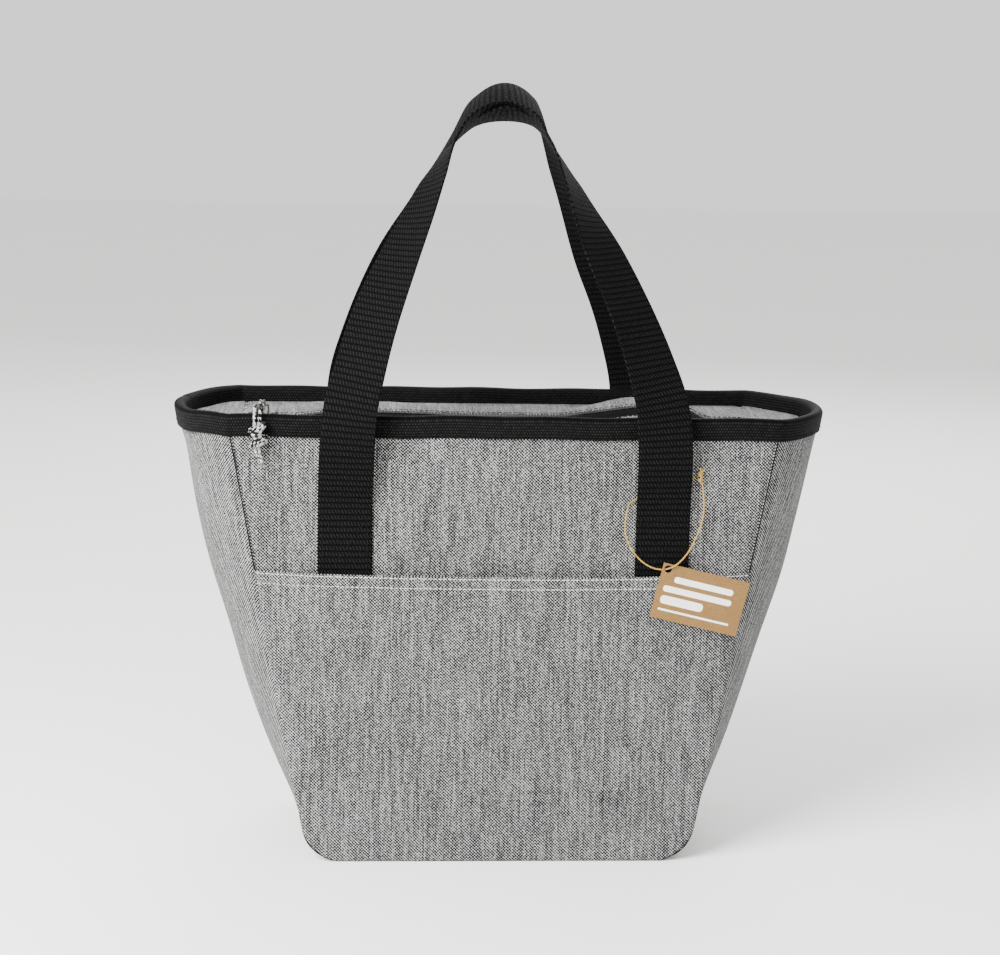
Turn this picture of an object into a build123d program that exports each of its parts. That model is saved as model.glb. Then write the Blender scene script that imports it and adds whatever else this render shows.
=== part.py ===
from build123d import *
import math
import os

# Insulated cooler bag, in millimetres. +Z is up, +X is to the wearer's right when facing the
# front, -Y is the front with the pocket, and the origin is the centre of the base's underside.

# Driving dimensions
base_width = 264  # between the side seams at the floor
rim_width = 376  # between the side seams at the rim
depth = 150
height = 313  # top of the rim binding
corner_radius = 29  # where the gusset turns under the bag
gusset_levels = [60, 110, 170, 240, 321]
gusset_bulges = [15, 25, 32, 37.5, 40.5]

shell = 0.8
foam = 4.0
lining = 0.4
ply_gap = 0.1
base_seam_x = 98  # where the base panel meets the gussets

binding_wall = 1.2
binding_height = 15
wall_top = height - binding_wall - ply_gap

pocket_top = 204
pocket_bottom = 14
pocket_gape = 7

webbing_width = 38
webbing = 1.6
strap_x = 107.5
tail_bottom = 195
tail_top = 245.5
handle_hinge_z = 252
handle_foot_z = 253

lid_z = 300  # mid plane of the zip
lid_edge_y = 67.5
lid_inset = 7.1
flap_half_length = 130
flap_gap = 0.4
lid_fabric = 0.6
slot_half_width = 7
zip_left = -176
zip_right = 172
tape_outer_y = 16
coil_outer_y = 3.2
coil_inner_y = 0.9
coil_height = 2.4

slider_x = -166
slider_half_length = 5.5
slider_half_width = 5
bail_z = 308.1

side_slope = (rim_width - base_width) / 2 / height
slant = math.hypot(1, side_slope)
side = depth / 2
shell_inner = shell
foam_outer = shell_inner + ply_gap
foam_inner = foam_outer + foam
lining_outer = foam_inner + ply_gap
lining_inner = lining_outer + lining

os.makedirs("parts", exist_ok=True)


def finish(part, label):
    """Names a piece and writes it."""
    part.label = label
    export_step(part, f"parts/{label}.step")
    return part


def half_width(z, inset=0.0):
    """Half the width between the side seams at a height, for a skin that lies inset from the outside."""
    return base_width / 2 + side_slope * z - inset * slant


def body(inset):
    """The bag's outer form, brought in by inset all round: a tapered trunk with bulging gussets."""
    y = side - inset
    low = corner_radius
    with BuildPart() as trunk:
        with BuildSketch(Plane.XZ):
            with BuildLine():
                Polyline(
                    (-half_width(low, inset), low),
                    (-half_width(inset, inset), inset),
                    (half_width(inset, inset), inset),
                    (half_width(low, inset), low),
                    close=True,
                )
            foot = make_face()
            fillet(foot.vertices().group_by(Axis.Y)[0], (corner_radius - inset) * 0.84)
        extrude(amount=y, both=True)
    with BuildPart() as upper:
        w = half_width(low, inset)
        with BuildSketch(Plane.XY.offset(low)):
            with BuildLine():
                Polyline((-w, -y), (w, -y), (w, y), (-w, y), close=True)
            make_face()
        for z, bulge in zip(gusset_levels, gusset_bulges):
            w = half_width(z, inset)
            with BuildSketch(Plane.XY.offset(z)):
                with BuildLine():
                    Line((-w, -y), (w, -y))
                    ThreePointArc((w, -y), (w + bulge, 0), (w, y))
                    Line((w, y), (-w, y))
                    ThreePointArc((-w, y), (-w - bulge, 0), (-w, -y))
                make_face()
        loft()
    return trunk.part + upper.part


def block(low, high):
    """A plain block between two corners, used to cut regions out of a skin."""
    centre = [(a + b) / 2 for a, b in zip(low, high)]
    return Pos(*centre) * Box(*[b - a for a, b in zip(low, high)])


far = 400


def skin_regions(outer_inset, inner_inset):
    """Cuts the skin between two insets into front, back, left, right and base pieces."""
    skin = body(outer_inset) - body(inner_inset)
    y = side - inner_inset
    floor = inner_inset + 0.001
    below = block((-far, -far, -far), (far, far, wall_top))
    skin = skin & below
    middle = block((-far, -y, -far), (far, y, far))
    base_zone = block((-base_seam_x, -y, -far), (base_seam_x, y, floor))
    ring = (skin & middle) - base_zone
    return {
        "front": skin & block((-far, -far, -far), (far, -y, far)),
        "back": skin & block((-far, y, -far), (far, far, far)),
        "left": ring & block((-far, -far, -far), (0, far, far)),
        "right": ring & block((0, -far, -far), (far, far, far)),
        "base": skin & base_zone,
    }


# Shell, insulation and lining: the same five pieces in three plies
plies = [
    (0.0, shell_inner, {"front": "front_panel", "back": "back_panel", "left": "left_gusset",
                        "right": "right_gusset", "base": "base_panel"}),
    (foam_outer, foam_inner, {s: f"{s}_insulation" for s in ("front", "back", "left", "right", "base")}),
    (lining_outer, lining_inner, {s: f"{s}_lining" for s in ("front", "back", "left", "right", "base")}),
]
for outer_inset, inner_inset, names in plies:
    pieces = skin_regions(outer_inset, inner_inset)
    for place, label in names.items():
        finish(pieces[place], label)

# Loose stiffening board that lies on the lining
board_thickness = 1.6
with BuildPart() as base_board:
    with BuildSketch(Plane.XY.offset(lining_inner + ply_gap)):
        RectangleRounded(204, depth - 20, 12)
    extrude(amount=board_thickness)
finish(base_board.part, "base_board")

# Rim binding: a folded tape over the top edge of every ply
binding_bottom = height - binding_height
ring_zone = block((-far, -far, binding_bottom), (far, far, height))
slot_zone = block((-far, -far, -far), (far, far, height - binding_wall))
binding_ring = (body(-ply_gap - binding_wall) - body(lining_inner + ply_gap + binding_wall)) & ring_zone
binding_slot = (body(-ply_gap) - body(lining_inner + ply_gap)) & slot_zone
finish(binding_ring - binding_slot, "rim_binding")

# Front pocket: one sheet sewn down at the sides and the bottom, open at the top
pocket_face = -side - pocket_gape
pocket_seam = 4


def pocket_outline(inset):
    """The pocket's outline from the front, inset from the side seams."""
    with BuildPart() as outline:
        with BuildSketch(Plane.XZ):
            with BuildLine():
                Polyline(
                    (-half_width(pocket_bottom) + 14 + inset, pocket_bottom - 20),
                    (-half_width(45) + inset, 45),
                    (-half_width(pocket_top + 2) + inset, pocket_top + 2),
                    (half_width(pocket_top + 2) - inset, pocket_top + 2),
                    (half_width(45) - inset, 45),
                    (half_width(pocket_bottom) - 14 - inset, pocket_bottom - 20),
                    close=True,
                )
            make_face()
        extrude(amount=side * 2, both=True)
    return outline.part


def pocket_wedge(points):
    """A wedge that runs the width of the bag, from its side profile."""
    with BuildPart() as wedge:
        with BuildSketch(Plane.YZ):
            with BuildLine():
                Polyline(*points, close=True)
            make_face()
        extrude(amount=far, both=True)
    return wedge.part


skin_y = -side - ply_gap
outside = pocket_wedge([
    (skin_y, pocket_bottom), (skin_y - shell, pocket_bottom), (pocket_face, pocket_top - 14),
    (pocket_face, pocket_top), (skin_y, pocket_top),
]) & pocket_outline(1)
inside = pocket_wedge([
    (skin_y + 1, pocket_bottom + 4), (skin_y, pocket_bottom + 4), (pocket_face + shell, pocket_top - 14),
    (pocket_face + shell, pocket_top + 1), (skin_y + 1, pocket_top + 1),
]) & pocket_outline(1 + pocket_seam)
finish(outside - inside, "front_pocket")

# Sewn-down ends of the two webbing handles
for side_name, y_sign in (("front", -1), ("back", 1)):
    for end_name, x_sign in (("left", -1), ("right", 1)):
        tail_y = y_sign * (side + ply_gap + webbing / 2)
        with BuildPart() as strap_tail:
            with BuildSketch(Plane.XY.offset(tail_bottom)):
                with Locations((x_sign * strap_x, tail_y)):
                    Rectangle(webbing_width, webbing)
            extrude(amount=tail_top - tail_bottom)
        finish(strap_tail.part, f"{side_name}_{end_name}_strap_tail")

# Handles: webbing that stands off the rim, leans to the middle and turns edge-on as it rises.
# Each station is x, y, z of the webbing's middle on the left leg, and its twist in degrees.
front_stations = [
    (-107.5, 77.3, handle_foot_z, 0),
    (-107.3, 80.8, 264, 0),
    (-107.0, 84.4, 276, 0),
    (-106.6, 87.0, 289, 0),
    (-104.0, 87.0, 320, 4),
    (-97.5, 80.5, 347, 12),
    (-87.5, 68.5, 380, 22),
    (-74.5, 54.0, 412, 34),
    (-61.0, 39.5, 443, 52),
    (-48.0, 26.0, 468, 70),
    (-35.0, 13.5, 489, 88),
    (-19.5, 4.0, 505, 104),
    (0.0, 0.5, 510.5, 112),
]
back_stations = front_stations[:8] + [
    (-62.5, 41.5, 445, 50),
    (-52.0, 30.0, 472, 66),
    (-41.0, 18.5, 497, 82),
    (-24.0, 6.0, 518, 97),
    (0.0, 0.5, 526, 106),
]


def handle(stations, y_sign):
    """Webbing lofted through its stations, left foot to right foot."""
    points = [Vector(x, y_sign * y, z) for x, y, z, _ in stations]
    tangents = [Vector(0, y_sign * 0.3, 1)]
    for before, after in zip(points[:-2], points[2:]):
        tangents.append(after - before)
    tangents.append(Vector(1, 0, 0))
    sections = []
    for point, tangent, (_, _, _, twist) in zip(points, tangents, stations):
        along = tangent.normalized()
        flat = Vector(along.Z, 0, -along.X).normalized()
        across = along.cross(flat)
        turn = math.radians(twist)
        wide = flat * math.cos(turn) + across * (y_sign * math.sin(turn))
        sections.append((point, wide, along))
    for point, wide, along in reversed(sections[:-1]):
        sections.append((
            Vector(-point.X, point.Y, point.Z),
            Vector(-wide.X, wide.Y, wide.Z),
            Vector(along.X, -along.Y, -along.Z),
        ))
    with BuildPart() as strip:
        for point, wide, along in sections:
            with BuildSketch(Plane(origin=point, x_dir=wide, z_dir=along)):
                Rectangle(webbing_width, webbing)
        loft(ruled=True)
    return strip.part


finish(handle(front_stations, -1), "front_handle")
finish(handle(back_stations, 1), "back_handle")

# Recessed lid: fixed fabric ends, and two flaps that the zip joins along the middle
lid_form = body(lid_inset)
fabric_low = lid_z + 0.6
fabric_high = fabric_low + lid_fabric
flap_end = flap_half_length - flap_gap / 2
for end_name, x_sign, zip_end in (("left", -1, -zip_left), ("right", 1, zip_right)):
    reach = sorted((x_sign * (flap_half_length + flap_gap / 2), x_sign * far))
    slot = sorted((x_sign * 100, x_sign * (zip_end + 5)))
    plate = lid_form & block((reach[0], -lid_edge_y, fabric_low), (reach[1], lid_edge_y, fabric_high))
    slot_block = block((slot[0], -slot_half_width, 200), (slot[1], slot_half_width, 400))
    finish(plate - slot_block, f"{end_name}_lid_end")

tape_low = lid_z
tape_high = lid_z + 0.5
coil_low = lid_z - 1
coil_high = coil_low + coil_height


def zip_half(x_low, x_high, y_sign, inner, outer, low, high):
    """One straight strip of tape or coil."""
    ys = sorted((y_sign * inner, y_sign * outer))
    with BuildPart() as strip:
        with BuildSketch(Plane.XY.offset(low)):
            with Locations(((x_low + x_high) / 2, (ys[0] + ys[1]) / 2)):
                Rectangle(x_high - x_low, ys[1] - ys[0])
        extrude(amount=high - low)
    return strip.part


end_reach = flap_half_length + flap_gap / 2
for end_name, x_low, x_high in (("left", zip_left, -end_reach), ("right", end_reach, zip_right)):
    halves = []
    coils = []
    for y_sign in (-1, 1):
        halves.append(zip_half(x_low, x_high, y_sign, coil_outer_y + 0.1, tape_outer_y, tape_low, tape_high))
        coils.append(zip_half(x_low, x_high, y_sign, coil_inner_y, coil_outer_y, coil_low, coil_high))
    finish(halves[0] + halves[1], f"{end_name}_zip_end_tape")
    finish(coils[0] + coils[1], f"{end_name}_zip_end_coil")

# Metal stops clamped over the ends of the coils
stop_length = 3
stop_half_width = 4
for stop_name, x_low in (("top_stop", zip_left - stop_length - 0.2), ("bottom_stop", zip_right + 0.2)):
    with BuildPart() as zip_stop:
        with BuildSketch(Plane.XY.offset(coil_low)):
            with Locations((x_low + stop_length / 2, 0)):
                RectangleRounded(stop_length, stop_half_width * 2, 1)
        extrude(amount=coil_height)
    finish(zip_stop.part, stop_name)

# Each flap: fabric, a thin foam, a lining, and its half of the zip
foam_low = lid_z - 3.1
foam_high = lid_z - 0.1
for flap_name, y_sign in (("front", -1), ("back", 1)):
    flap_plies = {
        "flap": (slot_half_width, lid_edge_y, fabric_low, fabric_high),
        "flap_insulation": (tape_outer_y + 0.5, lid_edge_y - 8, foam_low, foam_high),
        "flap_lining": (tape_outer_y + 0.5, lid_edge_y - 8, foam_low - 0.5, foam_low - 0.1),
        "zip_tape": (coil_outer_y + 0.1, tape_outer_y, tape_low, tape_high),
        "zip_coil": (coil_inner_y, coil_outer_y, coil_low, coil_high),
    }
    for ply_name, (inner, outer, low, high) in flap_plies.items():
        strip = zip_half(-flap_end, flap_end, y_sign, inner, outer, low, high)
        finish(strip, f"{flap_name}_{ply_name}")

# Slider: two plates over and under the coils, joined by a narrow wedge at the open end
slider_plate = 1
plate_clear = 0.35
with BuildPart() as slider:
    for low in (coil_high + plate_clear, coil_low - plate_clear - slider_plate):
        with BuildSketch(Plane.XY.offset(low)):
            with Locations((slider_x, 0)):
                RectangleRounded(slider_half_length * 2, slider_half_width * 2, 2.5)
        extrude(amount=slider_plate)
    with BuildSketch(Plane.XY.offset(coil_low - plate_clear)):
        with Locations((slider_x - slider_half_length + 2, 0)):
            Rectangle(3, 1.1)
    extrude(amount=coil_height + 2 * plate_clear)
finish(slider.part, "zip_slider")

# Bail on the slider: two feet and a bar that the pull cord goes round
bail_foot_low = coil_high + plate_clear + slider_plate
bail_half_length = 4
bar_half_height = 0.6
bar_half_width = 0.8
with BuildPart() as slider_bail:
    with BuildSketch(Plane.XZ):
        with Locations((slider_x, (bail_foot_low + bail_z + bar_half_height) / 2)):
            Rectangle(2 * bail_half_length, bail_z + bar_half_height - bail_foot_low)
        with Locations((slider_x, (bail_foot_low + bail_z - bar_half_height) / 2)):
            Rectangle(2 * bail_half_length - 2.4, bail_z - bar_half_height - bail_foot_low, mode=Mode.SUBTRACT)
    extrude(amount=bar_half_width, both=True)
finish(slider_bail.part, "slider_bail")


def cord(points, diameter, label):
    """A cord along straight runs joined by arcs that are as large as the runs allow."""
    route = [Vector(*p) for p in points]
    radii = []
    for a, b, c in zip(route[:-2], route[1:-1], route[2:]):
        turn = math.radians((b - a).get_angle(c - b))
        radii.append(0.45 * min((b - a).length, (c - b).length) / math.tan(turn / 2))
    with BuildPart() as tube:
        with BuildLine() as path:
            FilletPolyline(*route, radius=radii)
        with BuildSketch(Plane(origin=route[0], z_dir=route[1] - route[0])):
            Circle(diameter / 2)
        sweep()
    length = sum(edge.length for edge in path.line.edges())
    section = math.pi * diameter**2 / 4
    print(label, "radii", [round(r, 1) for r in radii], "length", round(length, 1))
    print(label, "volume over section times length", round(tube.part.volume / section / length, 4))
    finish(tube.part, label)


# Pull cord: folded round the bail, both strands laid over the front rim into a knot
pull_cord_diameter = 2.4
pull_x = slider_x
pull_y = -81.1
knot_low = 291
knot_high = 308
pull_route = [
    (-167.5, pull_y, knot_high + 0.1),
    (-167.7, -81.0, 314.5),
    (-167.7, -75.0, 319.0),
    (-167.5, -65.5, 316.0),
    (-167.0, -52.0, 307.5),
    (-166.4, -33.0, 303.9),
    (-166.1, -13.5, 304.6),
    (-166.0, 3.3, 305.4),
    (-166.0, 3.3, 310.8),
    (-165.8, -8.0, 311.6),
    (-165.4, -26.0, 309.4),
    (-164.9, -44.0, 310.0),
    (-164.4, -60.0, 317.0),
    (-164.2, -70.5, 321.5),
    (-164.2, -79.0, 319.6),
    (-164.4, -81.3, 313.0),
    (-164.5, pull_y, knot_high + 0.1),
]
cord(pull_route, pull_cord_diameter, "pull_cord")

with BuildPart() as pull_knot:
    with BuildSketch(Plane(origin=(pull_x, pull_y, 0), x_dir=(1, 0, 0), z_dir=(0, -1, 0))):
        with BuildLine():
            Polyline(
                (0, knot_low), (2.2, knot_low), (4.1, knot_low + 4), (4.1, knot_high - 3),
                (3.0, knot_high), (0, knot_high), close=True,
            )
        make_face()
    revolve(axis=Axis((pull_x, pull_y, 0), (0, 0, 1)))
finish(pull_knot.part, "pull_knot")

tail_end = 282
with BuildPart() as pull_tail:
    with BuildSketch(Plane(origin=(pull_x, pull_y, tail_end))):
        Circle(2.0)
    with BuildSketch(Plane(origin=(pull_x, pull_y, knot_low))):
        Circle(1.7)
    loft()
finish(pull_tail.part, "pull_tail")

# Hang tag: a card on a thin string that goes round the front right webbing
string_diameter = 1.1
tag_card = 0.5
tag_tilt = 13.3
tag_back_y = -83.2
hole = (-26.5, 15.5)
with BuildPart() as hang_tag:
    lean = math.radians(tag_tilt)
    tag_plane = Plane(
        origin=(133.4, tag_back_y, 189.4),
        x_dir=(math.cos(lean), 0, -math.sin(lean)),
        z_dir=(0, -1, 0),
    )
    with BuildSketch(tag_plane):
        Rectangle(61, 38.5)
        with Locations(hole):
            Circle(2.6, mode=Mode.SUBTRACT)
    extrude(amount=tag_card)
finish(hang_tag.part, "hang_tag")

# The string's hanging part, from beside the knot down through the card's hole and up again
tag_route = [
    (133.4, -80.0, 266.5),
    (134.9, -80.2, 255.0),
    (134.0, -80.6, 243.0),
    (129.5, -81.8, 231.0),
    (123.5, -84.2, 220.5),
    (115.5, -86.2, 212.9),
    (107.0, -81.2, 208.9),
    (97.0, -81.0, 212.0),
    (88.5, -81.0, 219.5),
    (82.5, -81.0, 229.5),
    (80.6, -80.6, 241.0),
    (83.2, -78.4, 252.0),
]
cord(tag_route, string_diameter, "tag_string")

# The string's held part, behind the webbing, and its knot
loop_route = [
    (83.9, -77.6, 254.2),
    (91.0, -76.1, 259.6),
    (104.0, -76.1, 263.0),
    (118.0, -76.3, 267.5),
    (128.2, -78.6, 272.6),
]
cord(loop_route, string_diameter, "tag_loop")
knot_centre = (131.6, -80.0, 274.2)
with BuildPart() as tag_knot:
    with BuildSketch(Plane(origin=knot_centre, x_dir=(1, 0, 0), z_dir=(0, -1, 0))):
        with BuildLine():
            Polyline((0, -6), (1.4, -6), (2.6, -3), (2.6, 3), (1.4, 5), (0, 5), close=True)
        make_face()
    revolve(axis=Axis(knot_centre, (0, 0, 1)))
finish(tag_knot.part, "tag_knot")
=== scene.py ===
import math

import bpy
import numpy as np
from mathutils import Matrix, Vector
from mathutils.bvhtree import BVHTree


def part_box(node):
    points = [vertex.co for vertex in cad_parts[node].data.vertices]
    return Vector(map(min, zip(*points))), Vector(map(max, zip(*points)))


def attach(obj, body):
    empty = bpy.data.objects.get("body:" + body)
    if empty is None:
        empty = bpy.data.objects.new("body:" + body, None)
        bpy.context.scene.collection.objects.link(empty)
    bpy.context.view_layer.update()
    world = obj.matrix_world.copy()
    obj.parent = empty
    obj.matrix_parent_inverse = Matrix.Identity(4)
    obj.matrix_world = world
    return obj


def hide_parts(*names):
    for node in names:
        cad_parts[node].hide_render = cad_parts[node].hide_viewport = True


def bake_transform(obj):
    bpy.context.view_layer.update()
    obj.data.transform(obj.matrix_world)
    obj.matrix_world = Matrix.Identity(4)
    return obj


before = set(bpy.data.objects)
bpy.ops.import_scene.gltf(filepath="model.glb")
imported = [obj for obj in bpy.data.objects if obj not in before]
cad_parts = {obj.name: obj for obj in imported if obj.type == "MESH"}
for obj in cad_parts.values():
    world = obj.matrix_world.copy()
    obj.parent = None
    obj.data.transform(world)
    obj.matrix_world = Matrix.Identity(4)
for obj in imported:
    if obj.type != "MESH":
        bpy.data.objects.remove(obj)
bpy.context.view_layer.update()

# Driving sizes, in metres
BASE_WIDTH = 0.264
RIM_WIDTH = 0.376
BODY_HEIGHT = 0.313
HALF_DEPTH = 0.075
CORNER_R = 0.026
LID_Z = 0.3006
CLOTH = 0.0008
WEBBING = 0.0016
WEBBING_WIDTH = 0.0368

# Places taken from the frame
RIM_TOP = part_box("rim_binding")[1][2]
BINDING_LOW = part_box("rim_binding")[0][2]
BASE_SEAM_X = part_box("base_panel")[1][0]
POCKET_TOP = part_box("front_pocket")[1][2]
POCKET_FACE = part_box("front_pocket")[0][1]
TAIL_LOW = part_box("front_left_strap_tail")[0][2]
TAIL_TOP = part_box("front_left_strap_tail")[1][2]
ZIP_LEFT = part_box("left_zip_end_coil")[0][0]
ZIP_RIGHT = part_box("right_zip_end_coil")[1][0]


# ---------------------------------------------------------------- shader maths
class Wire:
    """A value socket that arithmetic works on."""

    def __init__(self, tree, socket):
        self.tree = tree
        self.socket = socket

    def math(self, operation, *others):
        node = self.tree.nodes.new("ShaderNodeMath")
        node.operation = operation
        for slot, value in zip(node.inputs, (self, *others)):
            if isinstance(value, Wire):
                self.tree.links.new(value.socket, slot)
            else:
                slot.default_value = value
        return Wire(self.tree, node.outputs[0])

    def __add__(self, other):
        return self.math("ADD", other)

    __radd__ = __add__

    def __mul__(self, other):
        return self.math("MULTIPLY", other)

    __rmul__ = __mul__

    def __sub__(self, other):
        return self.math("SUBTRACT", other)

    def __rsub__(self, other):
        return (self * -1.0) + other

    def __truediv__(self, other):
        return self.math("DIVIDE", other)

    def __gt__(self, other):
        return self.math("GREATER_THAN", other)

    def floor(self):
        return self.math("FLOOR")

    def fract(self):
        return self.math("FRACT")

    def sin(self):
        return self.math("SINE")

    def abs(self):
        return self.math("ABSOLUTE")

    def least(self, other):
        return self.math("MINIMUM", other)

    def most(self, other):
        return self.math("MAXIMUM", other)

    def unit(self):
        return self.most(0.0).least(1.0)


class Finish:
    """A material under construction: one principled shader and the nodes that feed it."""

    def __init__(self, name, **constants):
        self.material = bpy.data.materials.new(name)
        self.material.use_nodes = True
        self.tree = self.material.node_tree
        self.shader = self.tree.nodes["Principled BSDF"]
        for key, value in constants.items():
            self.shader.inputs[key.replace("_", " ")].default_value = value

    def node(self, kind, settings=None, **inputs):
        node = self.tree.nodes.new(kind)
        for key, value in (settings or {}).items():
            setattr(node, key, value)
        for key, value in inputs.items():
            slot = node.inputs[key.replace("_", " ")]
            if isinstance(value, Wire):
                self.tree.links.new(value.socket, slot)
            else:
                slot.default_value = value
        return node

    def out(self, node, name=0):
        return Wire(self.tree, node.outputs[name])

    def place(self):
        """The piece's own coordinates, as three values in metres."""
        coordinates = self.node("ShaderNodeTexCoord")
        split = self.node("ShaderNodeSeparateXYZ", Vector=self.out(coordinates, "Object"))
        return [self.out(split, axis) for axis in "XYZ"]

    def weave_place(self):
        """Metres across and along the cloth, from its own map."""
        uv = self.node("ShaderNodeUVMap", {"uv_map": "weave"})
        split = self.node("ShaderNodeSeparateXYZ", Vector=self.out(uv, "UV"))
        return self.out(split, "X"), self.out(split, "Y")

    def vector(self, x, y, z=0.0):
        return self.out(self.node("ShaderNodeCombineXYZ", X=x, Y=y, Z=z))

    def speckle(self, x, y, seed=0.0):
        """A different value from 0 to 1 in each whole-number cell."""
        cell = self.vector(x.floor(), y.floor(), seed)
        return self.out(self.node("ShaderNodeTexWhiteNoise", Vector=cell), "Value")

    def cloud(self, vector, scale, detail=2.0):
        return self.out(self.node("ShaderNodeTexNoise", Vector=vector, Scale=scale, Detail=detail), 0)

    def colour(self, factor, stops):
        """A ramp from (position, (r, g, b)) stops."""
        ramp = self.node("ShaderNodeValToRGB", Fac=factor)
        elements = ramp.color_ramp.elements
        for _ in stops[2:]:
            elements.new(0.5)
        for element, (position, shade) in zip(elements, stops):
            element.position = position
            element.color = (*shade, 1.0)
        return self.out(ramp)

    def finish(self, colour, rough=None, height=None, strength=0.3, distance=0.0003):
        self.tree.links.new(colour.socket, self.shader.inputs["Base Color"])
        if rough is not None:
            self.tree.links.new(rough.socket, self.shader.inputs["Roughness"])
        if height is not None:
            bump = self.node("ShaderNodeBump", Height=height, Strength=strength, Distance=distance)
            self.tree.links.new(bump.outputs[0], self.shader.inputs["Normal"])
        return self.material


def grey(level):
    return (level, level, level * 0.985)


def heather_twill(name, lift=1.0, pitch=0.0022):
    """Two-tone polyester: fine twill dots of pale weft on near-black warp, with pale vertical slubs."""
    paint = Finish(name, Roughness=0.9, Sheen_Weight=0.05, Specular_IOR_Level=0.15)
    x, z = paint.weave_place()
    u, v = x / pitch, z / pitch
    warp = paint.speckle(u * 2.0, v * 0.07)
    uneven = paint.cloud(paint.vector(u * 0.8, v * 0.8, 2.0), 1.0)
    down = ((u + v + uneven * 0.35) * (2 * math.pi)).sin()
    over = ((u - v + warp * 0.25) * (2 * math.pi)).sin()
    grain = paint.speckle(u * 2.0, v * 2.0, 3.0)
    slub = paint.cloud(paint.vector(u * 2.0, v * 0.06, 1.0), 1.0, 2.0)
    patch = paint.cloud(paint.vector(x, z), 14.0)
    tone = down * 0.30 + over * 0.22 + (grain - 0.5) * 0.30 + (warp - 0.5) * 0.14
    tone = tone + (slub - 0.5) * 0.55 + (patch - 0.5) * 0.12 + 0.5
    # lift scales every shade; above 1 it paints a lighter copy of the twill (painted light on the lid)
    shade = paint.colour(tone.unit(), [
        (0.0, grey(0.0004 * lift)), (0.42, grey(0.003 * lift)), (0.52, grey(0.022 * lift)),
        (0.62, grey(0.14 * lift)), (1.0, grey(0.38 * lift)),
    ])
    return paint.finish(shade, 0.82 + grain * 0.14, down + over * 0.7, 0.35, 0.0003)


def black_webbing(name):
    """Heavy polypropylene webbing: ribs across it, and rows of short slanting floats."""
    paint = Finish(name, Specular_IOR_Level=0.05)
    u, v = paint.weave_place()
    rows = v / 0.0042
    slot = u / 0.00225 + rows * 0.9
    dash = ((slot.fract() - 0.5).abs() * -2.0 + 1.0) * ((rows.fract() - 0.5).abs() * -2.0 + 1.0)
    rib = ((v / 0.0021).fract() * math.pi).sin()
    fuzz = paint.speckle(u / 0.00045, v / 0.00045)
    height = dash * 0.8 + rib * 0.5 + fuzz * 0.15
    tone = (dash * 0.62 + rib * 0.22 + fuzz * 0.22).unit()
    shade = paint.colour(tone, [(0.0, grey(0.0002)), (0.45, grey(0.0010)), (1.0, grey(0.018))])
    return paint.finish(shade, 0.86 - dash * 0.16, height, 0.55, 0.0006)


def black_tape(name, pitch=0.0019):
    """Ribbed binding tape: fine cords that run across its length."""
    paint = Finish(name, Specular_IOR_Level=0.05)
    u, v = paint.weave_place()
    row = (u / pitch).floor()
    rib = ((v / pitch + row * 0.5).fract() * math.pi).sin() * ((u / pitch).fract() * math.pi).sin()
    knit = paint.speckle(u / pitch, v / pitch)
    fuzz = paint.speckle(u / 0.0004, v / 0.0004, 2.0)
    tone = (rib * 0.75 + knit * 0.2 + fuzz * 0.1).unit()
    shade = paint.colour(tone, [(0.0, grey(0.0002)), (0.5, grey(0.0009)), (1.0, grey(0.015))])
    return paint.finish(shade, 0.6 + fuzz * 0.2, rib + knit * 0.4, 0.5, 0.0005)


def zip_cloth(name):
    """Plain woven zip tape."""
    paint = Finish(name, Specular_IOR_Level=0.05)
    x, y, z = paint.place()
    cell = paint.speckle(x / 0.0006, y / 0.0006)
    rib = ((x / 0.0012).fract() * math.pi).sin()
    shade = paint.colour((cell * 0.5 + rib * 0.5).unit(), [(0.0, grey(0.0003)), (1.0, grey(0.004))])
    return paint.finish(shade, 0.7 + cell * 0.2, rib, 0.3)


def coil_plastic(name):
    """Smooth black nylon of the zip's coils."""
    paint = Finish(name, Coat_Weight=0.2, Coat_Roughness=0.3)
    x, y, z = paint.place()
    haze = paint.cloud(paint.vector(x, y, z), 900.0)
    shade = paint.colour(haze, [(0.3, grey(0.001)), (0.8, grey(0.006))])
    return paint.finish(shade, 0.32 + haze * 0.2, haze, 0.1)


def dark_metal(name):
    """Black-lacquered die casting, rubbed a little on its faces."""
    paint = Finish(name, Metallic=0.7, Coat_Weight=0.25, Coat_Roughness=0.2)
    x, y, z = paint.place()
    wear = paint.cloud(paint.vector(x, y, z), 500.0, 4.0)
    shade = paint.colour(wear, [(0.35, grey(0.02)), (0.75, grey(0.1))])
    return paint.finish(shade, 0.3 + wear * 0.3, wear, 0.15)


def silver_film(name):
    """Wipe-clean aluminised lining with fine creases."""
    paint = Finish(name, Metallic=0.35, Coat_Weight=0.15, Coat_Roughness=0.3)
    x, y, z = paint.place()
    where = paint.vector(x, y, z)
    crease = (paint.cloud(where, 60.0, 6.0) - 0.5).abs() * 2.0
    small = paint.cloud(where, 420.0, 3.0)
    # darker along the crease valleys, where the bump is lowest: painted shade in the creases
    shade = paint.colour((crease * 0.8 + small * 0.3).unit(), [(0.0, grey(0.44)), (1.0, grey(0.72))])
    return paint.finish(shade, 0.28 + small * 0.25, crease + small * 0.3, 0.5, 0.0012)


def closed_foam(name):
    """White closed-cell foam."""
    paint = Finish(name)
    x, y, z = paint.place()
    cells = paint.node("ShaderNodeTexVoronoi", Vector=paint.vector(x, y, z), Scale=900.0)
    pore = paint.out(cells, "Distance")
    # darker at the pore centres, where the bump is lowest: painted shade in the pores
    shade = paint.colour(pore, [(0.0, grey(0.55)), (0.6, grey(0.82))])
    return paint.finish(shade, 0.8 + pore * 0.15, pore, 0.3)


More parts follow.
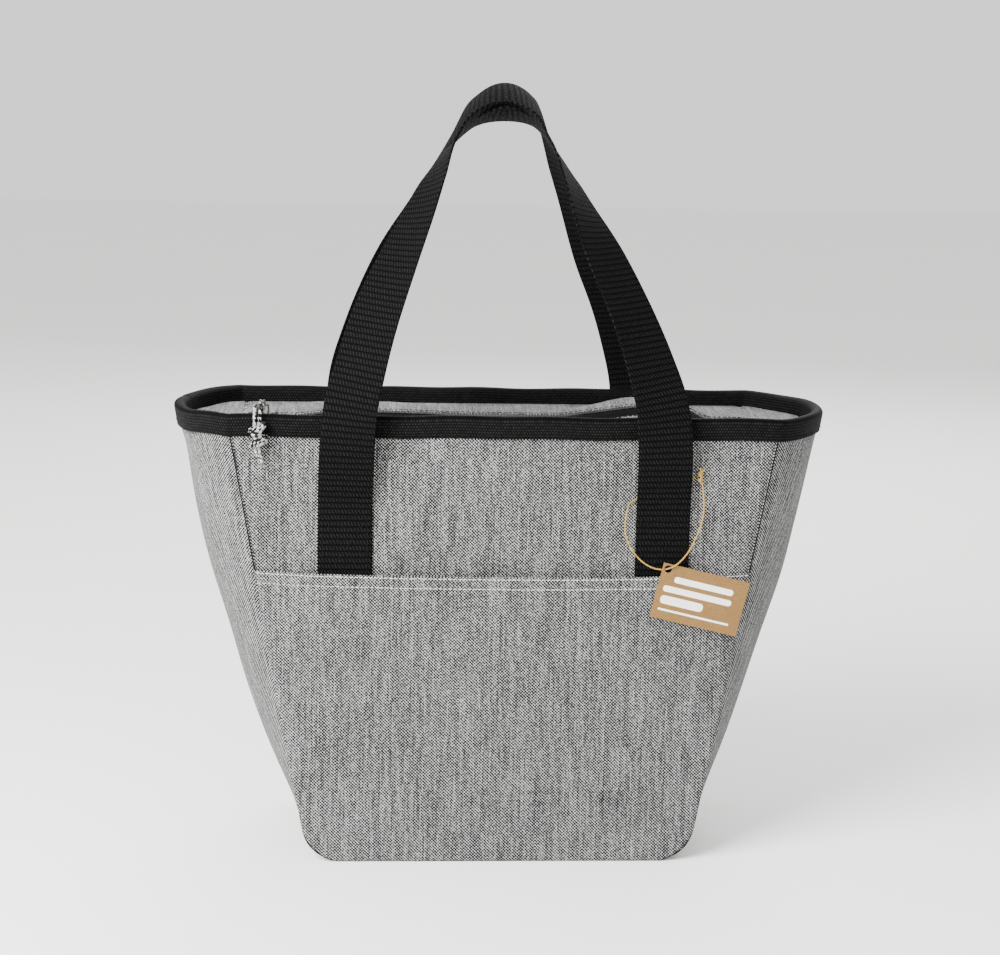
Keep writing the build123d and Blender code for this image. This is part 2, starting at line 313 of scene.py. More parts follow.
def board_plastic(name):
    """Grained black board."""
    paint = Finish(name)
    x, y, z = paint.place()
    grain = paint.cloud(paint.vector(x, y, z), 700.0, 4.0)
    shade = paint.colour(grain, [(0.3, grey(0.02)), (0.8, grey(0.05))])
    return paint.finish(shade, 0.5 + grain * 0.3, grain, 0.3)


def melange_cord(name):
    """Black and white yarns laid together and twisted."""
    paint = Finish(name, Specular_IOR_Level=0.1)
    u, v = paint.weave_place()
    lay = u * 4.0 + v / 0.0028
    yarn = paint.speckle(lay, v / 0.0023)
    strand = (lay.fract() * math.pi).sin()
    shade = paint.colour((yarn * 0.9 + strand * 0.1).unit(), [
        (0.0, grey(0.001)), (0.54, grey(0.008)), (0.60, grey(0.28)), (1.0, grey(0.5)),
    ])
    return paint.finish(shade, 0.7 + yarn * 0.15, strand, 0.6, 0.0004)


def golden_string(name):
    """Waxed tan string of two fine plies."""
    paint = Finish(name, Sheen_Weight=0.1)
    u, v = paint.weave_place()
    ply = ((u * 2.0 + v / 0.0016).fract() * math.pi).sin()
    tint = paint.cloud(paint.vector(u, v * 60.0), 3.0)
    shade = paint.colour((ply * 0.6 + tint * 0.4).unit(), [
        (0.0, (0.10, 0.042, 0.003)), (0.5, (0.27, 0.145, 0.010)), (1.0, (0.46, 0.29, 0.040)),
    ])
    return paint.finish(shade, 0.5 + tint * 0.3, ply, 0.5, 0.0002)


def kraft_card(name):
    """Unbleached card with short dark and pale fibres."""
    paint = Finish(name)
    x, y, z = paint.place()
    fibre = paint.cloud(paint.vector(x * 1.0, y, z * 4.0), 700.0, 4.0)
    fleck = paint.speckle(x / 0.0007, z / 0.0005)
    broad = paint.cloud(paint.vector(x, y, z), 60.0)
    tone = fibre * 0.6 + broad * 0.25 + (fleck > 0.97) * -0.2 + 0.08
    shade = paint.colour(tone.unit(), [
        (0.2, (0.092, 0.044, 0.008)), (0.55, (0.165, 0.087, 0.018)), (0.85, (0.235, 0.132, 0.032)),
    ])
    return paint.finish(shade, 0.75 + fibre * 0.15, fibre, 0.25, 0.0001)


def pale_ink(name):
    """Opaque off-white print."""
    paint = Finish(name)
    x, y, z = paint.place()
    patchy = paint.cloud(paint.vector(x, y, z), 1500.0, 3.0)
    shade = paint.colour(patchy, [(0.3, (0.72, 0.68, 0.6)), (0.7, (0.86, 0.84, 0.78))])
    return paint.finish(shade, 0.6 + patchy * 0.2, patchy, 0.1)


def sewing_thread(name, dark, light):
    """Spun thread of two close shades."""
    paint = Finish(name, Specular_IOR_Level=0.1)
    x, y, z = paint.place()
    ply = paint.speckle((x + y) / 0.0005, z / 0.0005)
    shade = paint.colour(ply, [(0.0, dark), (1.0, light)])
    return paint.finish(shade, 0.6 + ply * 0.2, ply, 0.2)


def pale_floor(name):
    paint = Finish(name, Roughness=0.9)
    x, y, z = paint.place()
    tint = paint.cloud(paint.vector(x, y, z), 3.0)
    return paint.finish(paint.colour(tint, [(0.0, grey(0.93)), (1.0, grey(0.96))]), 0.85 + tint * 0.05)


# ---------------------------------------------------------------- mesh making
def placed(name, data):
    """An object at the origin for a mesh, a curve, a light or a camera."""
    thing = bpy.data.objects.new(name, data)
    bpy.context.collection.objects.link(thing)
    return thing


def plain_mesh(thing):
    """What an object's curve or modifiers make, as one mesh."""
    bpy.context.view_layer.update()
    return bpy.data.meshes.new_from_object(thing.evaluated_get(bpy.context.evaluated_depsgraph_get()))


def mesh_piece(name, points, faces, material, weave=None):
    """A smooth mesh object from points in metres, with its weave as a map."""
    mesh = bpy.data.meshes.new(name)
    mesh.from_pydata([tuple(p) for p in points], [], faces)
    mesh.update()
    if weave is not None:
        layer = mesh.uv_layers.new(name="weave")
        loops = np.zeros(len(mesh.loops), np.int32)
        mesh.loops.foreach_get("vertex_index", loops)
        layer.data.foreach_set("uv", np.asarray(weave, np.float32)[loops].ravel())
    mesh.polygons.foreach_set("use_smooth", [True] * len(mesh.polygons))
    mesh.materials.append(material)
    return placed(name, mesh)


def volume(points, faces):
    """Signed volume of a closed mesh."""
    points = np.asarray(points, float)
    total = 0.0
    for size in {len(face) for face in faces}:
        group = points[[face for face in faces if len(face) == size]]
        for i in range(1, size - 1):
            total += float(np.einsum("ij,ij->", group[:, 0], np.cross(group[:, i], group[:, i + 1])))
    return total / 6


def closed_piece(name, points, faces, material, weave=None):
    """A closed skin, with its faces turned outwards."""
    if volume(points, faces) < 0:
        faces = [tuple(reversed(face)) for face in faces]
    return mesh_piece(name, points, faces, material, weave)


def slab(name, surface, thickness, material, weave=None):
    """A closed sheet from a grid of points, given its thickness on the side away from its normals."""
    rows, cols = surface.shape[:2]
    down = np.gradient(surface, axis=0)
    along = np.gradient(surface, axis=1)
    normal = np.cross(along, down)
    normal /= np.maximum(np.linalg.norm(normal, axis=2, keepdims=True), 1e-12)
    other = surface - normal * thickness
    points = np.concatenate([surface.reshape(-1, 3), other.reshape(-1, 3)])
    count = rows * cols
    faces = []
    for r in range(rows - 1):
        for c in range(cols - 1):
            a = r * cols + c
            face = (a, a + 1, a + cols + 1, a + cols)
            faces.append(face)
            faces.append(tuple(count + corner for corner in reversed(face)))
    edge = list(range(cols)) + [r * cols + cols - 1 for r in range(1, rows)]
    edge += [(rows - 1) * cols + c for c in range(cols - 2, -1, -1)]
    edge += [r * cols for r in range(rows - 2, 0, -1)]
    for a, b in zip(edge, edge[1:] + edge[:1]):
        faces.append((b, a, count + a, count + b))
    maps = None if weave is None else np.concatenate([weave.reshape(-1, 2)] * 2)
    return closed_piece(name, points, faces, material, maps)


def swept(name, rings, material, closed, weave=None):
    """A skin over rings of points, closed on itself or capped at its ends."""
    count, size = rings.shape[:2]
    points = rings.reshape(-1, 3)
    faces = []
    for r in range(count if closed else count - 1):
        s = (r + 1) % count
        for c in range(size):
            d = (c + 1) % size
            faces.append((r * size + c, r * size + d, s * size + d, s * size + c))
    if not closed:
        faces.append(tuple(range(size - 1, -1, -1)))
        faces.append(tuple((count - 1) * size + c for c in range(size)))
    return closed_piece(name, points, faces, material, weave)


def line_of(points):
    """The smooth line of a route: a NURBS spline with the route's points as its control points."""
    data = bpy.data.curves.new("route", "CURVE")
    data.dimensions = "3D"
    data.resolution_u = 12
    spline = data.splines.new("NURBS")
    spline.points.add(len(points) - 1)
    for point, place in zip(spline.points, points):
        point.co = (*place, 1.0)
    spline.order_u = 3
    spline.use_endpoint_u = True
    curve = placed("route", data)
    mesh = bpy.data.meshes.new_from_object(curve)
    line = np.array([v.co for v in mesh.vertices], float)
    bpy.data.objects.remove(curve)
    return line


def along_line(line):
    """How far along the line each of its points is."""
    return np.concatenate([[0], np.cumsum(np.linalg.norm(np.diff(line, axis=0), axis=1))])


def spaced(line, step):
    """The line again, with points a step apart."""
    s = along_line(line)
    at = np.linspace(0, s[-1], max(2, int(round(s[-1] / step)) + 1))
    return np.stack([np.interp(at, s, line[:, k]) for k in range(3)], axis=1)


def laid_cord(name, line, radius, material, plies=3, lay=0.006, sides=18):
    """A twisted cord of a few plies round a line of ring centres."""
    tangent = np.gradient(line, axis=0)
    tangent /= np.linalg.norm(tangent, axis=1, keepdims=True)
    s = along_line(line)
    normal = np.cross(tangent[0], (0.3, 0.2, 0.93))
    rings, weave = [], []
    for i in range(len(line)):
        normal = normal - tangent[i] * np.dot(normal, tangent[i])
        normal /= np.linalg.norm(normal)
        side = np.cross(tangent[i], normal)
        for k in range(sides):
            angle = 2 * math.pi * k / sides
            lobe = 1 - 0.16 * (1 - abs(math.cos(plies / 2 * (angle + 2 * math.pi * s[i] / lay / plies))))
            rings.append(line[i] + radius * lobe * (normal * math.cos(angle) + side * math.sin(angle)))
            weave.append((k / sides, s[i]))
    rings = np.array(rings).reshape(len(line), sides, 3)
    return swept(name, rings, material, False, np.array(weave))


def joined(name, parts):
    """Several pieces made into one."""
    with bpy.context.temp_override(active_object=parts[0], selected_editable_objects=parts):
        bpy.ops.object.join()
    parts[0].name = name
    parts[0].data.name = name
    return parts[0]


def repeat_tree(name, along, pitch, thickness, length, material, sides=6):
    """Geometry nodes that lay one short rounded bar after another on a guide line.

    The bars lie along the line as stitches do, or across it as a coil's turns do."""
    tree = bpy.data.node_groups.new(name, "GeometryNodeTree")
    tree.interface.new_socket("Geometry", in_out="INPUT", socket_type="NodeSocketGeometry")
    for label in ("Pitch", "Thickness", "Length"):
        tree.interface.new_socket(label, in_out="INPUT", socket_type="NodeSocketFloat")
    tree.interface.new_socket("Geometry", in_out="OUTPUT", socket_type="NodeSocketGeometry")
    nodes, links = tree.nodes, tree.links
    start, end = nodes.new("NodeGroupInput"), nodes.new("NodeGroupOutput")
    guide = nodes.new("GeometryNodeMeshToCurve")
    points = nodes.new("GeometryNodeResampleCurve")
    points.mode = "LENGTH"
    bar = nodes.new("GeometryNodeMeshUVSphere")
    bar.inputs["Segments"].default_value = sides
    bar.inputs["Rings"].default_value = 5
    bar.inputs["Radius"].default_value = 1.0
    size = nodes.new("ShaderNodeCombineXYZ")
    tangent = nodes.new("GeometryNodeInputTangent")
    turn = nodes.new("FunctionNodeAlignRotationToVector")
    turn.axis = "Z" if along else "X"
    lay = nodes.new("GeometryNodeInstanceOnPoints")
    real = nodes.new("GeometryNodeRealizeInstances")
    paint = nodes.new("GeometryNodeSetMaterial")
    paint.inputs["Material"].default_value = material
    links.new(start.outputs["Geometry"], guide.inputs["Mesh"])
    links.new(guide.outputs[0], points.inputs["Curve"])
    links.new(start.outputs["Pitch"], points.inputs["Length"])
    links.new(points.outputs[0], lay.inputs["Points"])
    links.new(bar.outputs["Mesh"], lay.inputs["Instance"])
    links.new(tangent.outputs[0], turn.inputs["Vector"])
    links.new(turn.outputs[0], lay.inputs["Rotation"])
    sizes = ("Thickness", "Thickness", "Length") if along else ("Thickness", "Length", "Thickness")
    for axis, label in zip("XYZ", sizes):
        links.new(start.outputs[label], size.inputs[axis])
    links.new(size.outputs[0], lay.inputs["Scale"])
    links.new(lay.outputs[0], real.inputs[0])
    links.new(real.outputs[0], paint.inputs["Geometry"])
    links.new(paint.outputs[0], end.inputs[0])
    return tree, {"Pitch": pitch, "Thickness": thickness, "Length": length}


def repeated(name, guides, tree_and_sizes, material):
    """Runs a repeating tree over guide lines, and keeps the result as one plain mesh."""
    tree, sizes = tree_and_sizes
    points, edges = [], []
    for guide in guides:
        first = len(points)
        points += [tuple(p) for p in guide]
        edges += [(first + i, first + i + 1) for i in range(len(guide) - 1)]
    mesh = bpy.data.meshes.new(name + "_guide")
    mesh.from_pydata(points, edges, [])
    piece = placed(name, mesh)
    modifier = piece.modifiers.new("repeat", "NODES")
    modifier.node_group = tree
    for item in tree.interface.items_tree:
        if item.in_out == "INPUT" and item.name in sizes:
            modifier[item.identifier] = sizes[item.name]
    result = plain_mesh(piece)
    piece.modifiers.remove(modifier)
    piece.data = result
    result.name = name
    result.polygons.foreach_set("use_smooth", [True] * len(result.polygons))
    if not result.materials:
        result.materials.append(material)
    return piece


def fix_to(piece, body, slot, *nodes):
    """Fixes a piece to its body, with the nodes that it stands for. The material slot is not used."""
    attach(piece, body)
    if nodes:
        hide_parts(*nodes)


# ---------------------------------------------------------------- camera and light
def set_camera():
    """A long lens a metre and a half in front, a little above the rim."""
    turn, dip, roll = (math.radians(a) for a in (3.36, 10.03, 1.05))
    ahead = Vector((math.sin(turn) * math.cos(dip), math.cos(turn) * math.cos(dip), -math.sin(dip)))
    level = Vector((math.cos(turn), -math.sin(turn), 0))
    up = level.cross(ahead)
    right = level * math.cos(roll) + up * math.sin(roll)
    top = up * math.cos(roll) - level * math.sin(roll)
    data = bpy.data.cameras.new("camera")
    data.lens = 77.5
    data.sensor_width = 36.0
    data.clip_start = 0.05
    camera = placed("camera", data)
    turned = Matrix((right, top, -ahead)).transposed()
    camera.matrix_world = Matrix.Translation((-0.0873, -1.5, 0.5236)) @ turned.to_4x4()
    bpy.context.scene.camera = camera


def area_light(name, place, aim, size, power):
    """A rectangular lamp that faces its aim."""
    data = bpy.data.lights.new(name, "AREA")
    data.shape = "RECTANGLE"
    data.size, data.size_y = size
    data.energy = power
    lamp = placed(name, data)
    aim_way = Vector(aim) - Vector(place)
    lamp.matrix_world = Matrix.Translation(place) @ aim_way.to_track_quat("-Z", "Y").to_matrix().to_4x4()


def set_light():
    """A pale studio: a broad light high on the left, a weak fill, and a white surround."""
    area_light("key_light", (-0.95, -0.95, 1.05), (0, 0, 0.25), (0.9, 0.9), 92)
    area_light("front_fill", (0.4, -2.4, 1.0), (0, 0, 0.25), (1.6, 1.2), 12)
    area_light("back_light", (0.5, 1.8, 1.6), (0, 0, 0.3), (1.6, 1.0), 45)
    world = bpy.data.worlds.new("studio")
    world.use_nodes = True
    world.node_tree.nodes["Background"].inputs["Color"].default_value = (1, 1, 1, 1)
    world.node_tree.nodes["Background"].inputs["Strength"].default_value = 1.25
    bpy.context.scene.world = world
    half = 9.0
    floor = mesh_piece(
        "floor", [(-half, -half, 0), (half, -half, 0), (half, half, 0), (-half, half, 0)],
        [(0, 1, 2, 3)], pale_floor("studio_floor"),
    )


set_camera()
set_light()

twill = heather_twill("heather_twill")
# the same twill with every shade 10% lighter, for the lid that faces up to the light: painted light
painted_lighter_lid_twill = heather_twill("painted_lighter_lid_twill", lift=1.1)
webbing_cloth = black_webbing("handle_webbing")
tape_cloth = black_tape("rim_tape")
zip_tape_cloth = zip_cloth("zip_tape")
coil_black = coil_plastic("zip_coil")
metal_black = dark_metal("zip_metal")
film = silver_film("lining_film")
foam_white = closed_foam("insulation_foam")
cord_yarn = melange_cord("pull_cord_yarn")
string_wax = golden_string("tag_string_wax")
card_stock = kraft_card("tag_card")
card_ink = pale_ink("tag_ink")
pale_thread = sewing_thread("pale_thread", grey(0.42), grey(0.75))
dark_thread = sewing_thread("dark_thread", grey(0.001), grey(0.006))

# ---------------------------------------------------------------- cords
PULL_ROUTE = [
    (-0.1675, -0.0811, 0.3081), (-0.1677, -0.0810, 0.3145), (-0.1677, -0.0750, 0.3190),
    (-0.1675, -0.0655, 0.3160), (-0.1670, -0.0520, 0.3075), (-0.1664, -0.0330, 0.3039),
    (-0.1661, -0.0135, 0.3046), (-0.1660, 0.0033, 0.3054), (-0.1660, 0.0033, 0.3108),
    (-0.1658, -0.0080, 0.3116), (-0.1654, -0.0260, 0.3094), (-0.1649, -0.0440, 0.3100),
    (-0.1644, -0.0600, 0.3170), (-0.1642, -0.0705, 0.3215), (-0.1642, -0.0790, 0.3196),
    (-0.1644, -0.0813, 0.3130), (-0.1645, -0.0811, 0.3081),
]
TAG_ROUTE = [
    (0.1334, -0.0800, 0.2665), (0.1349, -0.0802, 0.2550), (0.1340, -0.0806, 0.2430),
    (0.1295, -0.0818, 0.2310), (0.1235, -0.0842, 0.2205), (0.1155, -0.0862, 0.2129),
    (0.1070, -0.0812, 0.2089), (0.0970, -0.0810, 0.2120), (0.0885, -0.0810, 0.2195),
    (0.0825, -0.0810, 0.2295), (0.0806, -0.0806, 0.2410), (0.0832, -0.0784, 0.2520),
]
LOOP_ROUTE = [
    (0.0839, -0.0776, 0.2542), (0.0910, -0.0761, 0.2596), (0.1040, -0.0761, 0.2630),
    (0.1180, -0.0763, 0.2675), (0.1282, -0.0786, 0.2726),
]
PULL_THICK = 0.0024
STRING_THICK = 0.0011


def length_of(line):
    return float(along_line(line)[-1])


def string_piece(name, line, sides=8):
    """A length of the tag's two-ply string."""
    return laid_cord(name, line, STRING_THICK / 2, string_wax, 2, 0.0032, sides)


def make_pull():
    """The zip pull: one cord folded round the bail, tied in a knot below the rim, with two tails."""
    line = spaced(line_of(PULL_ROUTE), 0.0008)
    pull = laid_cord("pull_cord_folded", line, PULL_THICK / 2, cord_yarn)
    low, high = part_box("pull_knot")
    centre = (np.array(low) + np.array(high)) / 2
    wraps = []
    # the knot: a flat lower wrap, a crossing wrap and a top wrap round the two strands
    for turns, rise, radius, slope, lift in (
        (2.3, 0.0040, 0.0038, 0.0020, -0.0044), (2.1, 0.0030, 0.0046, -0.0028, 0.0002),
        (2.2, 0.0030, 0.0038, 0.0022, 0.0048), (1.4, 0.0012, 0.0026, 0.0050, 0.0002),
    ):
        t = np.linspace(0, 1, 60)
        angle = 2 * math.pi * turns * t + lift * 400
        wraps.append(np.stack([
            centre[0] + 0.0006 + radius * np.cos(angle) * 1.12,
            centre[1] - 0.0010 + radius * np.sin(angle) * 0.80,
            centre[2] + lift + rise * (t - 0.5) + slope * np.cos(angle),
        ], axis=1))
    for side in (-1, 1):
        strand = np.array([
            (centre[0] + side * 0.0015, centre[1], high[2]),
            (centre[0] + side * 0.0012, centre[1] - 0.0004, centre[2] + 0.003),
            (centre[0] - side * 0.0011, centre[1], centre[2] - 0.003),
            (centre[0] - side * 0.0014, centre[1], low[2] + 0.0006),
        ])
        wraps.append(spaced(line_of(strand), 0.0008))
    coils = [
        laid_cord(f"knot_turn_{i}", spaced(w, 0.0006), PULL_THICK * 0.62, cord_yarn, sides=12)
        for i, w in enumerate(wraps)
    ]
    knot = joined("pull_knot_wraps", coils)
    tails = []
    tail_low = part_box("pull_tail")[0][2]
    for side, reach, out in ((-1, 0.0, -0.0030), (1, -0.0020, 0.0034)):
        strand = np.array([
            (centre[0] + side * 0.0013, centre[1], low[2] + 0.0012),
            (centre[0] + side * 0.0017, centre[1] - 0.0002, low[2] - 0.003),
            (centre[0] + side * out, centre[1] + 0.0002, tail_low + reach),
        ])
        end = spaced(line_of(strand), 0.0006)
        tails.append(laid_cord(f"tail_{side}", end, PULL_THICK / 2, cord_yarn, sides=12))
        for k in range(9):
            # loose yarns at the cut end
            angle = 2 * math.pi * k / 9
            root = strand[-1] + np.array([math.cos(angle) * 0.0007, math.sin(angle) * 0.0007, 0.0006])
            tip = strand[-1] + np.array([math.cos(angle) * 0.0016, math.sin(angle) * 0.0013, -0.0022])
            bend = (root + tip) / 2 + np.array([0, 0, 0.0003])
            yarn = spaced(line_of([root, bend, tip]), 0.0006)
            tails.append(laid_cord(f"yarn_{side}_{k}", yarn, 0.0002, cord_yarn, sides=6))
    tail = joined("pull_tail_ends", tails)
    for piece, node in ((pull, "pull_cord"), (knot, "pull_knot"), (tail, "pull_tail")):
        fix_to(piece, "zip_pull", "melange_cord", node)
    length_of(line)


def make_string():
    """The tag's string: a held loop behind the webbing, its knot, and the part that hangs."""
    hang_line = spaced(line_of(TAG_ROUTE), 0.0007)
    held_line = spaced(line_of(LOOP_ROUTE), 0.0007)
    hanging = string_piece("tag_string_hanging", hang_line, 10)
    held = string_piece("tag_string_held", held_line, 10)
    low, high = (np.array(p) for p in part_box("tag_knot"))
    centre = (low + high) / 2
    parts = []
    for turns, radius, lift, slope in (
        (2.2, 0.00115, -0.0022, 0.0007), (2.0, 0.0013, 0.0004, -0.0009), (1.6, 0.0011, 0.0026, 0.0006),
    ):
        t = np.linspace(0, 1, 70)
        angle = 2 * math.pi * turns * t + lift * 900
        turn_line = np.stack([
            centre[0] + radius * np.cos(angle),
            centre[1] + radius * np.sin(angle),
            centre[2] + lift + 0.0022 * (t - 0.5) + slope * np.cos(angle),
        ], axis=1)
        parts.append(string_piece("turn", turn_line))
    for tip in ((0.0026, -0.0012, 0.0052), (-0.0004, -0.0006, 0.0060)):
        ends = [centre + (0, 0, 0.002), centre + np.array(tip) * 0.6 + (0, 0, 0.001), centre + np.array(tip)]
        parts.append(string_piece("end", spaced(line_of(ends), 0.0005)))
    # short strands carry the string from its knot, and from the held loop, to the hanging part
    for start, stop in (
        (centre, hang_line[0] + (0, 0, 0.0004)),
        (held_line[0], hang_line[-1] + (0.0001, 0, 0.0004)),
    ):
        link = spaced(np.array([start, (np.array(start) + stop) / 2, stop]), 0.0005)
        parts.append(string_piece("link", link))
    knot = joined("tag_knot_wraps", parts)
    for piece, body, node in (
        (hanging, "hang_tag", "tag_string"), (held, "bag", "tag_loop"), (knot, "bag", "tag_knot"),
    ):
        fix_to(piece, body, "golden_string", node)
    length_of(held_line)
    length_of(hang_line)


make_pull()
make_string()


# ---------------------------------------------------------------- the bag's form
SIDE_SLOPE = (RIM_WIDTH - BASE_WIDTH) / 2 / BODY_HEIGHT


def seam_x(z):
    """Where the side seam is at a height."""
    return BASE_WIDTH / 2 + SIDE_SLOPE * z


def measure_bulge():
    """How far the gusset stands out past the seams at each height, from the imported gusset."""
    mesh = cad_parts["right_gusset"].data
    tree = BVHTree.FromPolygons([v.co for v in mesh.vertices], [tuple(p.vertices) for p in mesh.polygons])
    heights = np.linspace(0.03, RIM_TOP - 0.003, 60)
    found = []
    for z in heights:
        hit = tree.ray_cast(Vector((1.0, 0.0, z)), Vector((-1, 0, 0)))[0]
        found.append(hit.x - seam_x(z))
    return heights, np.array(found)


bulge_heights, bulge_sizes = measure_bulge()


def bulge(z):
    """The gusset's bulge at a height, from none at the base."""
    return np.interp(z, bulge_heights, bulge_sizes) * np.clip(z / 0.03, 0, 1)


def corner_half_width(z, inset=0.0):
    """Half the panel's width at a height, with the rounded bottom corner taken off."""
    radius = CORNER_R - inset
    lift = np.clip(radius - (z - inset), 0, radius)
    return seam_x(z) - inset * 1.016 - radius + np.sqrt(np.maximum(radius**2 - lift**2, 0))


def arc_offset(y, sagitta):
    """How far an arc between the seams stands out at depth y."""
    s = np.maximum(sagitta, 1e-5)
    r = (HALF_DEPTH**2 + s**2) / (2 * s)
    return np.sqrt(np.maximum(r**2 - y**2, 0)) - (r - s)


def smooth_step(t):
    t = np.clip(t, 0, 1)
    return t * t * (3 - 2 * t)


def ridge(u, v, centre, direction, length, width):
    """A soft fold that runs from centre along direction."""
    du, dv = u - centre[0], v - centre[1]
    along = du * direction[0] + dv * direction[1]
    across = -du * direction[1] + dv * direction[0]
    return np.exp(-(across / width) ** 2) * np.exp(-(along / length) ** 2)


def raised(folds, u, v):
    """Several folds added up, each a height and the values that ridge takes."""
    return sum(height * ridge(u, v, *fold) for height, *fold in folds)


def outward(loop):
    """Unit directions out of a closed flat loop."""
    way = np.roll(loop, -1, 0) - np.roll(loop, 1, 0)
    way /= np.linalg.norm(way, axis=1, keepdims=True)
    return np.stack([way[:, 1], -way[:, 0]], axis=1)


def roll_in(edge_distance, depth=0.0022, reach=0.006):
    """How far cloth turns in where it meets a seam."""
    return depth * (1 - smooth_step(edge_distance / reach)) ** 2


def panel_grid(top, bottom, columns, rows):
    """z and x over a panel that narrows downwards, with close rows at its rounded corners."""
    z = bottom + (top - bottom) * np.linspace(0, 1, rows) ** 1.25
    u = np.linspace(-1, 1, columns)
    u = np.sign(u) * (1 - (1 - np.abs(u)) ** 1.12)
    z = z[::-1][:, None] * np.ones((1, columns))
    u = u[None, :] * np.ones((rows, 1))
    return z, u * corner_half_width(z)


UNDER_BINDING = 0.008
PANEL_FOLDS = (
    (0.0011, (-0.060, 0.250), (0.25, 0.97), 0.060, 0.016),
    (-0.0012, (0.020, 0.262), (0.1, 1.0), 0.050, 0.022),
    (0.0010, (0.150, 0.240), (-0.2, 0.98), 0.060, 0.012),
    (-0.0012, (-0.150, 0.235), (0.15, 0.98), 0.070, 0.014),
    (-0.0009, (0.100, 0.035), (0.85, -0.52), 0.040, 0.009),
    (0.0008, (-0.090, 0.030), (0.8, 0.6), 0.040, 0.010),
)


def panel_puff(x, z, y_sign):
    """Soft unevenness of a stiff padded panel."""
    swell = 0.0012 * np.cos(x / 0.42 * math.pi) * np.sin(np.clip(z / 0.3, 0, 1) * math.pi)
    return raised(PANEL_FOLDS, x, z) * (1 if y_sign < 0 else -0.8) + swell


def make_panel(name, node, y_sign):
    """The front or the back, from inside the binding down to the base seam."""
    z, x = panel_grid(BINDING_LOW + UNDER_BINDING, 0.0004, 121, 131)
    edge = np.minimum(corner_half_width(z) - np.abs(x), z)
    puff = panel_puff(x, z, y_sign) * smooth_step(edge / 0.03)
    y = y_sign * (HALF_DEPTH - 0.0001 + puff - roll_in(edge))
    grid = np.stack([x, y, z], axis=2)
    if y_sign < 0:
        grid = grid[:, ::-1]
    piece = slab(name, grid, CLOTH * 0.6, twill, grid[:, :, (0, 2)])
    fix_to(piece, "bag", "grey_fabric", node)


def gusset_path():
    """Down the side seam, round the corner and under to the base seam, as x and z."""
    clear = 0.0003
    z = np.linspace(BINDING_LOW + UNDER_BINDING, CORNER_R, 110)
    angles = np.linspace(0, math.pi / 2, 22)[1:]
    middle = seam_x(CORNER_R) - CORNER_R
    corner_x = middle + CORNER_R * np.cos(angles)
    corner_z = CORNER_R - CORNER_R * np.sin(angles)
    under = np.linspace(middle, BASE_SEAM_X, 6)[1:]
    x = np.concatenate([seam_x(z), corner_x, under])
    z = np.concatenate([z, np.maximum(corner_z, clear), np.full(5, clear)])
    return x, z


def make_gusset(name, node, x_sign):
    """One side's cloth: it bulges between its seams and turns under at the base."""
    px, pz = gusset_path()
    columns, crowd = 61, math.pi / 2 * 0.92
    y = np.sin(np.linspace(-1, 1, columns) * crowd) / math.sin(crowd) * (HALF_DEPTH - 0.0004)
    y = y[None, :] * np.ones((len(px), 1))
    z = pz[:, None] * np.ones((1, columns))
    out = arc_offset(y, bulge(z))
    seam_gap = HALF_DEPTH - np.abs(y)
    ripple = 0.0008 * np.sin(z * 55 + 1.3 * x_sign) * np.sin(y * 42 + x_sign) * smooth_step((z - 0.05) / 0.1)
    crease = raised((
        (-0.0012, (0.018 * x_sign, 0.275), (0.5, 0.86), 0.030, 0.008),
        (0.0014, (-0.022, 0.190), (-0.3, 0.95), 0.050, 0.012),
    ), y, z)
    soft = smooth_step(seam_gap / 0.02) * smooth_step((BINDING_LOW - z) / 0.02)
    x = px[:, None] + out + (ripple + crease) * soft - roll_in(seam_gap)
    grid = np.stack([x_sign * x, y, z], axis=2)
    down = along_line(np.stack([px, pz], axis=1))[:, None] * np.ones((1, columns))
    steps = np.diff(grid[:, :, :2], axis=1, prepend=grid[:, :1, :2])
    round_arc = np.cumsum(np.linalg.norm(steps, axis=2), axis=1)
    round_arc = round_arc - round_arc[:, columns // 2][:, None]
    weave = np.stack([round_arc, -down], axis=2)
    if x_sign > 0:
        grid, weave = grid[:, ::-1], weave[:, ::-1]
    piece = slab(name, grid, CLOTH * 0.6, twill, weave)
    fix_to(piece, "bag", "grey_fabric", node)


def make_seam_shade_cords():
    """A near-black cord laid in the groove of each side seam, where panel and gusset turn in: painted shade
    in the seam, not a real cord.
    """
    px, pz = gusset_path()
    parts = []
    for x_sign in (-1, 1):
        for y_sign in (-1, 1):
            y = np.full(len(px), y_sign * (HALF_DEPTH - 0.0010))
            line = np.stack([x_sign * (px - 0.0008), y, pz + 0.0012 * (pz < CORNER_R)], axis=1)
            # dark thread colour on a cord in the seam groove: painted shade
            parts.append(laid_cord("seam", spaced(line, 0.003), 0.0007, dark_thread, 1, 0.01, 8))
    fix_to(joined("side_seam_shade_cords", parts), "bag", "grey_fabric")


def make_base():
    """The cloth under the base, turned up a little at its seams."""
    x = np.linspace(-BASE_SEAM_X, BASE_SEAM_X, 61)[None, :] * np.ones((41, 1))
    y = np.linspace(-HALF_DEPTH + 0.0005, HALF_DEPTH - 0.0005, 41)[:, None] * np.ones((1, 61))
    edge = np.minimum(BASE_SEAM_X - np.abs(x), HALF_DEPTH - np.abs(y))
    grid = np.stack([x, y, 0.0002 + roll_in(edge, 0.0008)], axis=2)
    piece = slab("base_cloth", grid[::-1], CLOTH * 0.6, twill, grid[::-1][:, :, :2])
    fix_to(piece, "bag", "grey_fabric", "base_panel")


